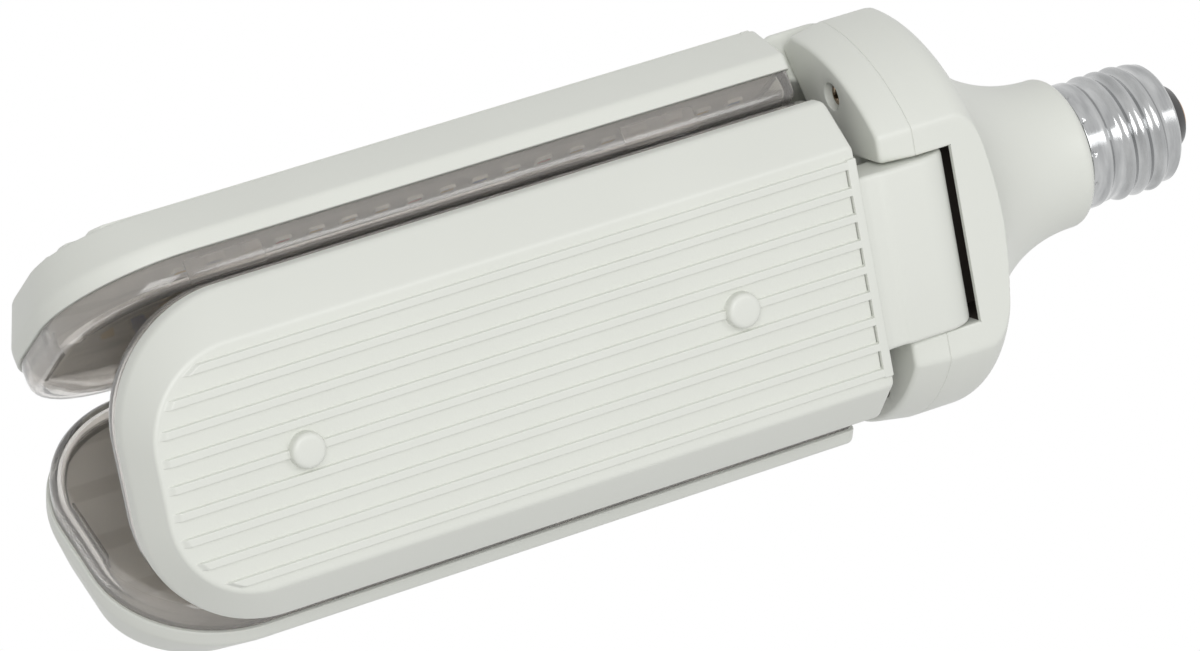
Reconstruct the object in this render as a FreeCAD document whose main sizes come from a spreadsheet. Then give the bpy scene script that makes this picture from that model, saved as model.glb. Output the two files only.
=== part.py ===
"""Foldable grow light: a screw cap, a hub with three hinges, and three LED blades.

The lamp hangs from its cap. The origin is on the axis, in the plane where the metal cap meets the
plastic neck, and +Z points up through the cap. Blade 1 faces -Y; the other two are turned about Z.
A height below the origin is a "drop", and a distance from the axis is measured square to a blade.
"""
import FreeCAD, Part
import math
import os
import re

import Sketcher
from FreeCAD import Placement, Rotation, Vector

SIZES = {
    # screw cap
    "thread_radius": 13.15,
    "thread_pitch": 3.629,
    "thread_depth": 0.95,
    "thread_turns": 3.5,
    "thread_first": 7.2,
    "ridge_width": 3.0,
    "skirt_height": 5.4,
    "skirt_taper": 1.2,
    "dome_start": 21.0,
    "shell_height": 23.4,
    "shell_mouth": 8.5,
    "shell_wall": 0.5,
    "insulator_top": 27.2,
    "insulator_tip": 5.9,
    "contact_radius": 5.0,
    "contact_height": 0.8,
    # neck and hub
    "neck_radius": 15.5,
    "neck_edge": 2.0,
    "neck_straight": 2.3,
    "neck_wall": 2.3,
    "bore_start": 2.1,
    "spigot_length": 5.0,
    "spigot_wall": 2.0,
    "hub_radius": 41.4,
    "hub_depth": 56.3,
    "shoulder_radius": 6.5,
    "lobe_height": 16.3,
    "flat_step": 2.0,
    "lobe_wall": 0.948,
    "cover_edge": 1.2,
    "cover_taper": 1.2,
    "cover_floor": 2.2,
    "seam_gap": 0.2,
    "cavity_wall": 2.0,
    "screw_room": 4.318,
    "screw_wall": 2.1,
    "hub_screw_radius": 1.25,
    "hub_screw_length": 11.0,
    "hub_screw_head": 2.6,
    "hub_screw_recess": 4.0,
    # hinges
    "cover_depth": 7.3,
    "barrel_radius": 7.2,
    "barrel_room": 0.6,
    "slot_side_room": 0.5,
    "slot_wall": 1.8,
    "slot_hollow": 3.5,
    "journal_radius": 3.0,
    "journal_length": 5.0,
    "journal_end_room": 0.5,
    "ring_section": 1.2,
    "ring_seat_depth": 2.0,
    "hinge_neck": 10.4,
    # blades
    "floor_width": 48.6,
    "tip_slope": 3.0,
    "floor_corner": 18.0,
    "blade_width": 64.6,
    "end_gap": 6.9,
    "blade_length": 154.3,
    "blade_corner": 25.0,
    "chamfer_depth": 8.3,
    "blade_depth": 11.6,
    "blade_wall": 1.6,
    "rib_count": 9,
    "rib_pitch": 5.25,
    "rib_width": 1.6,
    "rib_height": 1.0,
    "rib_margin": 2.2,
    "lip_width": 2.1,
    "post_radius": 3.5,
    "post_height": 2.6,
    "post_edge": 1.2,
    "first_post_gap": 29.6,
    "second_post_gap": 122.3,
    "boss_radius": 3.2,
    # lens covers
    "fold_gap": 2.166,
    "lens_depth": 6.2,
    "lens_inset": 0.6,
    "lens_edge": 3.2,
    "lens_wall": 1.6,
    "lens_lip_wall": 1.2,
    "lens_lip_depth": 2.6,
    "clip_length": 16.0,
    "clip_depth": 3.0,
    "clip_thickness": 0.8,
    # LED boards
    "board_thickness": 1.2,
    "board_sink": 0.2,
    "board_room": 0.25,
    "board_screw_radius": 1.2,
    "board_screw_length": 7.0,
    "board_screw_head": 2.4,
    "board_screw_head_height": 1.4,
    "led_width": 2.8,
    "led_length": 3.5,
    "led_height": 0.8,
    "led_pitch": 7.0,
    "led_row_pitch": 14.0,
    "led_rows": 4,
    "led_end_margin": 6.0,
    "led_tip_margin": 20.0,
    "led_edge_margin": 2.0,
    "terminal_width": 6.0,
    "terminal_length": 6.0,
    "terminal_height": 6.0,
    # wiring
    "lead_radius": 0.8,
    "lead_bend": 3.0,
    "lead_bore": 2.0,
    "drop_bore": 1.5,
    "lead_offset": 4.0,
    "hub_lead_reach": 2.8,
    "hub_lead_turn": 15.0,
    "hub_lead_bend": 2.4,
    "way_room": 0.7,
    # driver board in the neck
    "driver_width": 26.0,
    "driver_thickness": 1.6,
    "driver_top": 4.0,
    "driver_gap": 12.3,
    "output_radius": 6.0,
    "output_height": 7.0,
    "capacitor_radius": 5.0,
    "capacitor_height": 14.0,
    "transformer_width": 11.0,
    "transformer_depth": 8.0,
    "transformer_height": 12.0,
    "film_width": 9.0,
    "film_depth": 5.0,
    "film_height": 9.0,
    "rectifier_width": 5.0,
    "rectifier_depth": 2.5,
    "rectifier_height": 4.0,
    "chip_width": 5.0,
    "chip_depth": 1.5,
    "chip_height": 4.0,
    "fuse_radius": 1.4,
    "fuse_height": 8.0,
    "part_spacing": 2.0,
    # fits
    "fit_clearance": 0.05,
    "seat_clearance": 0.1,
    "slip_clearance": 0.15,
}

# Drops that follow from the sizes, kept in the same sheet: the hub's depth carries the hinges, and the
# hinges carry the blades.
DROPS = {
    "shoulder_drop": "hub_depth - lobe_height",
    "hinge_drop": "hub_depth - cover_depth",
    "driver_bottom": "hub_depth - driver_gap",
    "blade_end": "hub_depth + end_gap",
    "blade_tip": "blade_end + blade_length",
    "floor_tip": "blade_tip - tip_slope",
    "first_post": "blade_end + first_post_gap",
    "second_post": "blade_end + second_post_gap",
}

BLADE_TURNS = {1: 0.0, 2: -120.0, 3: 120.0}

# Derived places, as formulas of the sizes above. The wider the blades are, the further out they sit:
# folded, the rounded edges of neighbouring lenses stay fold_gap apart.
LENS_FACE = (
    "((lens_edge + fold_gap / 2 + (blade_width / 2 - lens_inset - lens_edge) * cos(60 deg))"
    " / sin(60 deg) - lens_edge)"
)
RIM_DISTANCE = f"({LENS_FACE} + lens_depth)"
FLOOR_DISTANCE = f"({RIM_DISTANCE} + blade_depth)"
HINGE_DISTANCE = f"({FLOOR_DISTANCE} - barrel_radius)"
SIDE_DISTANCE = f"({FLOOR_DISTANCE} - chamfer_depth)"

# The hub's radius leaves room beside each hinge for its journals and its lead, inside the lobe's wall.
FLAT_DISTANCE = f"({FLOOR_DISTANCE} - flat_step)"
LEAD_WAY = "(lead_radius + way_room)"
LEAD_ASIDE = f"(sqrt((hub_radius - lobe_wall)^2 - ({HINGE_DISTANCE} + {LEAD_WAY})^2) - {LEAD_WAY})"
JOURNAL_END = f"({LEAD_ASIDE} - hub_lead_reach)"
BARREL_HALF = f"({JOURNAL_END} - journal_length)"
SLOT_HALF = f"({BARREL_HALF} + slot_side_room)"
SCREW_CIRCLE = f"(({LEAD_ASIDE} + screw_room) / cos(30 deg))"
CAVITY_CORNER = f"({SCREW_CIRCLE} - hub_screw_head - screw_wall)"
SLOT_TOP = "(hinge_drop - barrel_radius - barrel_room)"
SLOT_FLOOR = f"({HINGE_DISTANCE} - barrel_radius - 2 * barrel_room)"
BORE_RADIUS = "(journal_radius + fit_clearance)"
RING_RADIUS = "(journal_radius + fit_clearance + ring_section / 2)"
RING_SEAT = f"({RING_RADIUS} + ring_section / 2 + fit_clearance)"
BOARD_FRONT = f"({RIM_DISTANCE} + board_sink)"
BOARD_BACK = f"({BOARD_FRONT} + board_thickness)"
LENS_SEAT = f"({RIM_DISTANCE} - seat_clearance)"
LIP_INSET = "(blade_wall + slip_clearance)"
LENS_INNER = f"({LIP_INSET} + lens_lip_wall)"
BOARD_INSET = f"({LENS_INNER} + board_room)"
TERMINAL_TOP = f"(blade_end + {BOARD_INSET} + part_spacing)"
HOUSING_FACE = "(hinge_drop - seam_gap / 2)"
COVER_FACE = "(hinge_drop + seam_gap / 2)"
SCREW_SEAT = "(hub_depth - hub_screw_recess)"
SPIGOT_RADIUS = "(thread_radius - shell_wall - fit_clearance)"
THREAD_ROOT = "(thread_radius - thread_depth)"
SHELL_BORE = f"({THREAD_ROOT} - shell_wall)"

# The neck flares in one arc that meets the rounded shoulder of the hub without a kink.
FLARE = (
    "(((hub_radius - shoulder_radius - neck_radius)^2 + (shoulder_drop - neck_straight)^2"
    " - shoulder_radius^2) / (2 * (hub_radius - neck_radius)))"
)
FLARE_SHARE = f"({FLARE} / ({FLARE} + shoulder_radius))"
FLARE_X = f"(neck_radius + {FLARE} - {FLARE_SHARE} * (neck_radius + {FLARE} - hub_radius + shoulder_radius))"
FLARE_Z = f"(neck_straight + {FLARE_SHARE} * (shoulder_drop - neck_straight))"

# The hollow follows the flare inside its wall, and ends in a deck where it comes near the flats.
DECK_X = f"({FLAT_DISTANCE} - neck_wall)"
DECK_DROP = f"(neck_straight + sqrt(({FLARE} + neck_wall)^2 - (neck_radius + {FLARE} - {DECK_X})^2))"

doc = FreeCAD.newDocument("foldable_grow_light")
sheet = doc.addObject("Spreadsheet::Sheet", "sizes")
DROP_CELLS = {alias: f"={formula}" for alias, formula in DROPS.items()}
for row, (alias, content) in enumerate({**SIZES, **DROP_CELLS}.items(), start=1):
    sheet.set(f"A{row}", alias)
    sheet.set(f"B{row}", str(content))
    sheet.setAlias(f"B{row}", alias)
doc.recompute()


def cells(formula):
    """The formula with each size or drop written as its cell in the sheet."""
    named = {*SIZES, *DROPS}
    return re.sub(r"[a-z_]+", lambda word: f"sizes.{word[0]}" if word[0] in named else word[0], formula)


def value(formula):
    """The number that a formula gives now."""
    return float(sheet.evalExpression(cells(formula)))


def size(alias):
    """A size of the sheet as a number."""
    return float(sheet.get(alias))


def bind(thing, **formulas):
    """Tie properties of an object to formulas."""
    for name, formula in formulas.items():
        thing.setExpression(name, cells(formula))


def place(thing, **formulas):
    """Tie the x, y and z of an object's place to formulas."""
    for name, formula in formulas.items():
        thing.setExpression(f"Placement.Base.{name}", cells(formula))


def new_body(label, turn=0.0):
    """A body of one piece, turned about the lamp's axis."""
    body = doc.addObject("PartDesign::Body", label)
    body.Label = label
    body.Placement = Placement(Vector(), Rotation(Vector(0, 0, 1), turn))
    return body


def origin_item(body, role):
    """One of the body's own planes or axes."""
    return next(item for item in body.Origin.OriginFeatures if item.Role == role)


def new_sketch(body, plane, name, offset="0"):
    """A sketch on one of the body's planes, moved along the plane's normal."""
    sketch = body.newObject("Sketcher::SketchObject", name)
    sketch.AttachmentSupport = (origin_item(body, plane), [""])
    sketch.MapMode = "FlatFace"
    sketch.setExpression("AttachmentOffset.Base.z", cells(offset))
    return sketch


def dimension(sketch, constraint, formula):
    """Add a constraint whose number follows a formula."""
    index = sketch.addConstraint(constraint)
    sketch.setExpression(f"Constraints[{index}]", cells(formula))


def lock(sketch, item, point, x, y):
    """Hold a point of the sketch at two formulas."""
    dimension(sketch, Sketcher.Constraint("DistanceX", -1, 1, item, point, value(x)), x)
    dimension(sketch, Sketcher.Constraint("DistanceY", -1, 1, item, point, value(y)), y)


def arc_between(start, end, radius):
    """An arc from start to end; a positive radius turns left, a negative one right."""
    chord = end - start
    left = Vector(-chord.y, chord.x, 0).normalize()
    height = math.sqrt(max(radius * radius - chord.Length ** 2 / 4, 0.0))
    centre = (start + end) / 2 + left * math.copysign(height, radius)
    first, last = (start, end) if radius > 0 else (end, start)
    angles = [math.atan2(p.y - centre.y, p.x - centre.x) for p in (first, last)]
    round_edge = Part.Circle(centre, Vector(0, 0, 1), abs(radius))
    return Part.ArcOfCircle(round_edge, angles[0], angles[1])


def outline(sketch, points):
    """A closed outline. Each point is (x, y), or (x, y, radius, turn) where an arc arrives at it."""
    spots = [Vector(value(p[0]), value(p[1]), 0) for p in points]
    count = len(points)
    ends = []
    for i, point in enumerate(points):
        start = spots[i - 1]
        if len(point) == 2:
            item = sketch.addGeometry(Part.LineSegment(start, spots[i]))
            ends.append((item, 1, 2))
        else:
            radius = point[3] * value(point[2])
            item = sketch.addGeometry(arc_between(start, spots[i], radius))
            ends.append((item, 1, 2) if radius > 0 else (item, 2, 1))
    for i, point in enumerate(points):
        item, _, last = ends[i]
        following, first, _ = ends[(i + 1) % count]
        sketch.addConstraint(Sketcher.Constraint("Coincident", item, last, following, first))
        lock(sketch, item, last, point[0], point[1])
    for i, point in enumerate(points):
        if len(point) == 4:
            item = ends[i][0]
            dimension(sketch, Sketcher.Constraint("Radius", item, value(point[2])), point[2])


def rectangle(sketch, left, right, low, high):
    """A rectangle between two formulas each way."""
    outline(sketch, [(left, low), (right, low), (right, high), (left, high)])


def circle(sketch, x, y, radius):
    """A circle about a point."""
    ring = Part.Circle(Vector(value(x), value(y), 0), Vector(0, 0, 1), value(radius))
    item = sketch.addGeometry(ring)
    lock(sketch, item, 3, x, y)
    dimension(sketch, Sketcher.Constraint("Radius", item, value(radius)), radius)


def tongue(sketch, half_width, end, tip, corner):
    """A blade's outline: square at the hinge end, rounded at the tip. Drops are measured downwards."""
    outline(sketch, [
        (f"-({half_width})", f"-({end})"),
        (f"-({half_width})", f"({corner}) - ({tip})"),
        (f"({corner}) - ({half_width})", f"-({tip})", corner, 1),
        (f"({half_width}) - ({corner})", f"-({tip})"),
        (f"{half_width}", f"({corner}) - ({tip})", corner, 1),
        (f"{half_width}", f"-({end})"),
    ])


def inset_tongue(sketch, inset):
    """The blade's outer outline, moved in all round."""
    tongue(
        sketch,
        f"blade_width / 2 - {inset}",
        f"blade_end + {inset}",
        f"blade_tip - {inset}",
        f"blade_corner - {inset}",
    )


def feature(body, kind, name, sketch, reverse=False, symmetric=False, **formulas):
    """A sketch-based feature whose lengths follow formulas."""
    result = body.newObject(f"PartDesign::{kind}", name)
    result.Profile = sketch
    result.Reversed = reverse
    if symmetric:
        result.SideType = "Symmetric"
    bind(result, **formulas)
    return result


def turned(body, kind, name, sketch, axis="V_Axis"):
    """A full turn of a sketch about one of its own axes."""
    result = body.newObject(f"PartDesign::{kind}", name)
    result.Profile = sketch
    result.ReferenceAxis = (sketch, [axis])
    result.Angle = 360
    return result


def lofted(body, kind, name, sketches):
    """A straight-sided loft through sketches."""
    result = body.newObject(f"PartDesign::{kind}", name)
    result.Profile = sketches[0]
    result.Sections = sketches[1:]
    result.Ruled = True
    return result


def three_round(body, name, originals):
    """Repeat features at the three hinges."""
    pattern = body.newObject("PartDesign::PolarPattern", name)
    pattern.Originals = originals
    pattern.Axis = (origin_item(body, "Z_Axis"), [""])
    pattern.Angle = 360
    pattern.Occurrences = len(BLADE_TURNS)
    body.Tip = pattern
    return pattern


def round_edges(body, name, base, radius, chosen):
    """Round the edges of a feature that pass a test."""
    doc.recompute()
    names = [f"Edge{i}" for i, edge in enumerate(base.Shape.Edges, start=1) if chosen(edge)]
    fillet = body.newObject("PartDesign::Fillet", name)
    fillet.Base = (base, names)
    bind(fillet, Radius=radius)
    body.Tip = fillet
    return fillet


def at_distance(edge, distance):
    """Whether the whole edge lies at a distance from the axis, square to blade 1."""
    box = edge.BoundBox
    return abs(box.YMin + distance) < 1e-6 and abs(box.YMax + distance) < 1e-6


def make_cap_shell():
    """The threaded metal shell: a plain skirt, a rolled thread and a rounded end."""
    body = new_body("cap_shell")
    wall = new_sketch(body, "XZ_Plane", "cap_wall")
    outline(wall, [
        (SPIGOT_RADIUS + " + fit_clearance", "0"),
        ("thread_radius", "0"),
        ("thread_radius", "skirt_height"),
        (THREAD_ROOT, "skirt_height + skirt_taper"),
        (THREAD_ROOT, "dome_start"),
        ("shell_mouth", "shell_height"),
        ("shell_mouth - shell_wall", "shell_height - shell_wall"),
        (SHELL_BORE, "dome_start"),
        (SHELL_BORE, "skirt_height + skirt_taper"),
        (SPIGOT_RADIUS + " + fit_clearance", "skirt_height"),
    ])
    turned(body, "Revolution", "cap_turned", wall)
    ridge = new_sketch(body, "XZ_Plane", "ridge_section")
    sink = "(thread_depth + fit_clearance)"
    crest = f"(ridge_width^2 / 4 + {sink}^2) / (2 * {sink})"
    outline(ridge, [
        (f"thread_radius - {sink}", "thread_first - ridge_width / 2"),
        ("thread_radius", "thread_first", crest, 1),
        (f"thread_radius - {sink}", "thread_first + ridge_width / 2", crest, 1),
    ])
    thread = body.newObject("PartDesign::AdditiveHelix", "cap_thread")
    thread.Profile = ridge
    thread.ReferenceAxis = (ridge, ["V_Axis"])
    thread.Mode = "pitch-turns-angle"
    bind(thread, Pitch="thread_pitch", Turns="thread_turns")
    return body


def make_cap_insulator():
    """The dark insulator between the shell and the end contact, with a hole for the live lead."""
    body = new_body("cap_insulator")
    section = new_sketch(body, "XZ_Plane", "insulator_section")
    edge = "(shell_mouth - shell_wall - fit_clearance)"
    outline(section, [
        ("lead_radius + slip_clearance", "shell_height - 2 * shell_wall"),
        (edge, "shell_height - 2 * shell_wall"),
        (edge, "shell_height"),
        ("insulator_tip", "insulator_top"),
        ("lead_radius + slip_clearance", "insulator_top"),
    ])
    turned(body, "Revolution", "insulator_turned", section)
    return body


def make_cap_contact():
    """The end contact: a disc with a rounded rim."""
    body = new_body("cap_contact")
    section = new_sketch(body, "XZ_Plane", "contact_section")
    outline(section, [
        ("0", "insulator_top"),
        ("contact_radius", "insulator_top"),
        ("contact_radius - contact_height", "insulator_top + contact_height", "contact_height", 1),
        ("0", "insulator_top + contact_height"),
    ])
    turned(body, "Revolution", "contact_turned", section)
    return body


def hinge_cuts(body, prefix, face, outward):
    """The cuts that the two hub halves share: flats, slots, bearings, ring seats and lead ways."""
    flat = new_sketch(body, "YZ_Plane", f"{prefix}_flat")
    outline(flat, [
        (f"-{FLAT_DISTANCE}", "0"),
        ("-2 * hub_radius", "0"),
        ("-2 * hub_radius", "-hub_depth"),
        (f"cover_taper - {FLAT_DISTANCE}", "-hub_depth"),
        (f"-{FLAT_DISTANCE}", f"-{COVER_FACE}"),
    ])
    flats = feature(body, "Pocket", f"{prefix}_flats", flat, symmetric=True, Length="2 * hub_radius")
    slot = new_sketch(body, "XZ_Plane", f"{prefix}_slot", FLAT_DISTANCE)
    rectangle(slot, f"-{SLOT_HALF}", SLOT_HALF, "-2 * hub_depth", f"-{SLOT_TOP}")
    slots = feature(body, "Pocket", f"{prefix}_slots", slot, Length=f"{FLAT_DISTANCE} - {SLOT_FLOOR}")
    bearing = new_sketch(body, "YZ_Plane", f"{prefix}_bearing")
    circle(bearing, f"-{HINGE_DISTANCE}", "-hinge_drop", BORE_RADIUS)
    bearings = feature(
        body, "Pocket", f"{prefix}_bearings", bearing, symmetric=True,
        Length=f"2 * ({JOURNAL_END} + journal_end_room)",
    )
    seat = new_sketch(body, "YZ_Plane", f"{prefix}_ring_seat")
    circle(seat, f"-{HINGE_DISTANCE}", "-hinge_drop", RING_SEAT)
    seats = feature(
        body, "Pocket", f"{prefix}_ring_seats", seat, symmetric=True,
        Length=f"2 * ({SLOT_HALF} + ring_seat_depth)",
    )
    way = new_sketch(body, "XY_Plane", f"{prefix}_lead_way", f"-{face}")
    rectangle(
        way, JOURNAL_END, f"{LEAD_ASIDE} + {LEAD_WAY}",
        f"-({HINGE_DISTANCE} + {LEAD_WAY})", f"{LEAD_WAY} - hub_lead_turn",
    )
    ways = feature(body, "Pocket", f"{prefix}_lead_ways", way, reverse=outward, Length=LEAD_WAY)
    return [flats, slots, bearings, seats, ways]


def cavity_outline(sketch):
    """The hollow between the three hinges: a triangle with its corners cut off."""
    side = f"({SLOT_FLOOR} - cavity_wall)"
    half = f"(({CAVITY_CORNER} - {side} / 2) / cos(30 deg))"
    points = []
    for turn in (0, 120, 240):
        for sign in ("-", ""):
            points.append((
                f"{sign}{half} * cos({turn} deg) + {side} * sin({turn} deg)",
                f"{sign}{half} * sin({turn} deg) - {side} * cos({turn} deg)",
            ))
    outline(sketch, points)


def make_hub_housing():
    """The upper hub half in one piece with the neck: hollow, with three hinge slots."""
    body = new_body("hub_housing")
    section = new_sketch(body, "XZ_Plane", "housing_section")
    outline(section, [
        ("0", f"-{HOUSING_FACE}"),
        ("hub_radius", f"-{HOUSING_FACE}"),
        ("hub_radius", "-shoulder_drop"),
        (FLARE_X, f"-{FLARE_Z}", "shoulder_radius", 1),
        ("neck_radius", "-neck_straight", FLARE, -1),
        ("neck_radius", "-neck_edge"),
        ("neck_radius - neck_edge", "0", "neck_edge", 1),
        (SPIGOT_RADIUS, "0"),
        (SPIGOT_RADIUS, "spigot_length"),
        ("0", "spigot_length"),
    ])
    turned(body, "Revolution", "housing_turned", section)
    throat = new_sketch(body, "XY_Plane", "throat", "spigot_length")
    circle(throat, "0", "0", f"{SPIGOT_RADIUS} - spigot_wall")
    feature(body, "Pocket", "throat_hole", throat, Length="spigot_length + bore_start")
    bore = new_sketch(body, "XZ_Plane", "neck_section")
    outline(bore, [
        ("0", f"-{DECK_DROP}"),
        (DECK_X, f"-{DECK_DROP}"),
        ("neck_radius - neck_wall", "-neck_straight", f"{FLARE} + neck_wall", -1),
        ("neck_radius - neck_wall", "-bore_start"),
        ("0", "-bore_start"),
    ])
    turned(body, "Groove", "neck_hollow", bore)
    hollow = new_sketch(body, "XY_Plane", "housing_cavity", f"-{HOUSING_FACE}")
    cavity_outline(hollow)
    feature(
        body, "Pocket", "housing_hollow", hollow, reverse=True, Length=f"{HOUSING_FACE} - {DECK_DROP}",
    )
    cuts = hinge_cuts(body, "housing", HOUSING_FACE, True)
    pilot = new_sketch(body, "XY_Plane", "screw_pilot", f"-{HOUSING_FACE}")
    circle(pilot, "0", SCREW_CIRCLE, "hub_screw_radius + fit_clearance")
    pilots = feature(
        body, "Pocket", "screw_pilots", pilot, reverse=True,
        Length=f"hub_screw_length - {SCREW_SEAT} + {HOUSING_FACE} + slip_clearance",
    )
    loft = new_sketch(body, "XZ_Plane", "slot_loft", f"{FLAT_DISTANCE} - slot_wall")
    rectangle(loft, f"-{SLOT_HALF}", SLOT_HALF, f"-{SLOT_TOP}", f"slot_hollow - {SLOT_TOP}")
    lofts = feature(body, "Pocket", "slot_lofts", loft, Length=f"{FLAT_DISTANCE} - slot_wall - {SLOT_FLOOR}")
    three_round(body, "housing_hinges", cuts + [pilots, lofts])
    return body


def make_hub_cover():
    """The lower hub half: it closes the hollow and holds the hinge journals against the housing."""
    body = new_body("hub_cover")
    section = new_sketch(body, "XZ_Plane", "cover_section")
    outline(section, [
        ("0", "-hub_depth"),
        ("hub_radius - cover_taper - cover_edge", "-hub_depth"),
        ("hub_radius - cover_taper", "cover_edge - hub_depth", "cover_edge", 1),
        ("hub_radius", f"-{COVER_FACE}"),
        ("0", f"-{COVER_FACE}"),
    ])
    turned(body, "Revolution", "cover_turned", section)
    hollow = new_sketch(body, "XY_Plane", "cover_cavity", f"-{COVER_FACE}")
    cavity_outline(hollow)
    feature(body, "Pocket", "cover_hollow", hollow, Length=f"hub_depth - {COVER_FACE} - cover_floor")
    cuts = hinge_cuts(body, "cover", COVER_FACE, False)
    hole = new_sketch(body, "XY_Plane", "screw_hole", f"-{COVER_FACE}")
    circle(hole, "0", SCREW_CIRCLE, "hub_screw_radius + slip_clearance")
    holes = feature(body, "Pocket", "screw_holes", hole, Length=f"hub_depth - {COVER_FACE}")
    recess = new_sketch(body, "XY_Plane", "screw_recess", "-hub_depth")
    circle(recess, "0", SCREW_CIRCLE, "hub_screw_head + slip_clearance")
    recesses = feature(body, "Pocket", "screw_recesses", recess, reverse=True, Length="hub_screw_recess")
    three_round(body, "cover_hinges", cuts + [holes, recesses])
    return body


def make_blade_shell(number, turn):
    """A blade's back: a tray with a ribbed floor, and the hinge arm with its barrel and journals."""
    tag = f"blade_{number}"
    body = new_body(f"{tag}_shell", turn)
    floor = new_sketch(body, "XZ_Plane", f"{tag}_floor", FLOOR_DISTANCE)
    tongue(floor, "floor_width / 2", "blade_end", "floor_tip", "floor_corner")
    side = new_sketch(body, "XZ_Plane", f"{tag}_side", SIDE_DISTANCE)
    inset_tongue(side, "0")
    rim = new_sketch(body, "XZ_Plane", f"{tag}_rim", RIM_DISTANCE)
    inset_tongue(rim, "0")
    lofted(body, "AdditiveLoft", f"{tag}_tray", [floor, side, rim])

    arm = new_sketch(body, "XZ_Plane", f"{tag}_arm", FLOOR_DISTANCE)
    rectangle(
        arm, f"-{BARREL_HALF}", BARREL_HALF, "-(blade_end + blade_wall)", "-hinge_drop",
    )
    feature(body, "Pad", f"{tag}_hinge_arm", arm, reverse=True, Length="hinge_neck")
    barrel = new_sketch(body, "YZ_Plane", f"{tag}_barrel")
    circle(barrel, f"-{HINGE_DISTANCE}", "-hinge_drop", "barrel_radius")
    feature(body, "Pad", f"{tag}_hinge_barrel", barrel, symmetric=True, Length=f"2 * {BARREL_HALF}")
    journal = new_sketch(body, "YZ_Plane", f"{tag}_journal")
    circle(journal, f"-{HINGE_DISTANCE}", "-hinge_drop", "journal_radius")
    feature(body, "Pad", f"{tag}_journals", journal, symmetric=True, Length=f"2 * {JOURNAL_END}")

    hollow = []
    inner = new_sketch(body, "XZ_Plane", f"{tag}_inner_floor", f"{FLOOR_DISTANCE} - blade_wall")
    tongue(
        inner, "(floor_width - blade_wall) / 2", "blade_end + blade_wall",
        "floor_tip - blade_wall", "floor_corner - blade_wall",
    )
    hollow.append(inner)
    for name, distance in (("side", f"{SIDE_DISTANCE} - blade_wall / 2"), ("mouth", f"{RIM_DISTANCE} - blade_wall")):
        level = new_sketch(body, "XZ_Plane", f"{tag}_inner_{name}", distance)
        inset_tongue(level, "blade_wall")
        hollow.append(level)
    lofted(body, "SubtractiveLoft", f"{tag}_hollow", hollow)

    plateau = new_sketch(body, "XZ_Plane", f"{tag}_plateau", FLOOR_DISTANCE)
    tongue(
        plateau, "(rib_count - 1) / 2 * rib_pitch + rib_width / 2", "blade_end",
        "floor_tip - rib_margin", "floor_corner - rib_margin",
    )
    feature(body, "Pad", f"{tag}_rib_block", plateau, Length="rib_height")
    channel = new_sketch(body, "XZ_Plane", f"{tag}_channel", f"{FLOOR_DISTANCE} + rib_height")
    middle = "((rib_count - 2) / 2 * rib_pitch)"
    half = "((rib_pitch - rib_width) / 2)"
    rectangle(
        channel, f"-{middle} - {half}", f"{half} - {middle}", "-2 * floor_tip", "-(blade_end + lip_width)",
    )
    first = feature(body, "Pocket", f"{tag}_first_channel", channel, Length="rib_height")
    channels = body.newObject("PartDesign::LinearPattern", f"{tag}_channels")
    channels.Originals = [first]
    channels.Direction = (origin_item(body, "X_Axis"), [""])
    bind(channels, Length="(rib_count - 2) * rib_pitch", Occurrences="rib_count - 1")
    body.Tip = channels

    lip = new_sketch(body, "XZ_Plane", f"{tag}_lip", FLOOR_DISTANCE)
    rectangle(lip, "-floor_width / 2", "floor_width / 2", "-(blade_end + lip_width)", "-blade_end")
    feature(body, "Pad", f"{tag}_end_lip", lip, Length="rib_height")

    for name, drop in (("upper", "first_post"), ("lower", "second_post")):
        post = new_sketch(body, "YZ_Plane", f"{tag}_{name}_post")
        post.setExpression("AttachmentOffset.Base.y", cells(f"-{drop}"))
        outline(post, [
            (f"-({FLOOR_DISTANCE} - blade_wall / 2)", "0"),
            (f"-({FLOOR_DISTANCE} - blade_wall / 2)", "post_radius"),
            (f"-({FLOOR_DISTANCE} + post_height - post_edge)", "post_radius"),
            (f"-({FLOOR_DISTANCE} + post_height)", "post_radius - post_edge", "post_edge", 1),
            (f"-({FLOOR_DISTANCE} + post_height)", "0"),
        ])
        turned(body, "Revolution", f"{tag}_{name}_post_turned", post, "H_Axis")
        boss = new_sketch(body, "XZ_Plane", f"{tag}_{name}_boss", BOARD_BACK)
        circle(boss, "0", f"-{drop}", "boss_radius")
        feature(
            body, "Pad", f"{tag}_{name}_boss_pad", boss,
            Length=f"{FLOOR_DISTANCE} - blade_wall / 2 - {BOARD_BACK}",
        )
        hole = new_sketch(body, "XZ_Plane", f"{tag}_{name}_hole", BOARD_BACK)
        circle(hole, "0", f"-{drop}", "board_screw_radius + fit_clearance")
        feature(
            body, "Pocket", f"{tag}_{name}_screw_hole", hole, reverse=True,
            Length="board_screw_length + slip_clearance",
        )

    bore = new_sketch(body, "YZ_Plane", f"{tag}_lead_bore", JOURNAL_END)
    circle(bore, f"-{HINGE_DISTANCE}", "-hinge_drop", "lead_bore")
    feature(body, "Pocket", f"{tag}_lead_hole", bore, Length=f"{JOURNAL_END} - lead_offset + lead_bore")
    drop_hole = new_sketch(body, "XY_Plane", f"{tag}_lead_drop", "-hinge_drop")
    circle(drop_hole, "lead_offset", f"-{HINGE_DISTANCE}", "drop_bore")
    feature(
        body, "Pocket", f"{tag}_lead_channel", drop_hole,
        Length="blade_end + 2 * blade_wall - hinge_drop",
    )
    return body


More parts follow.
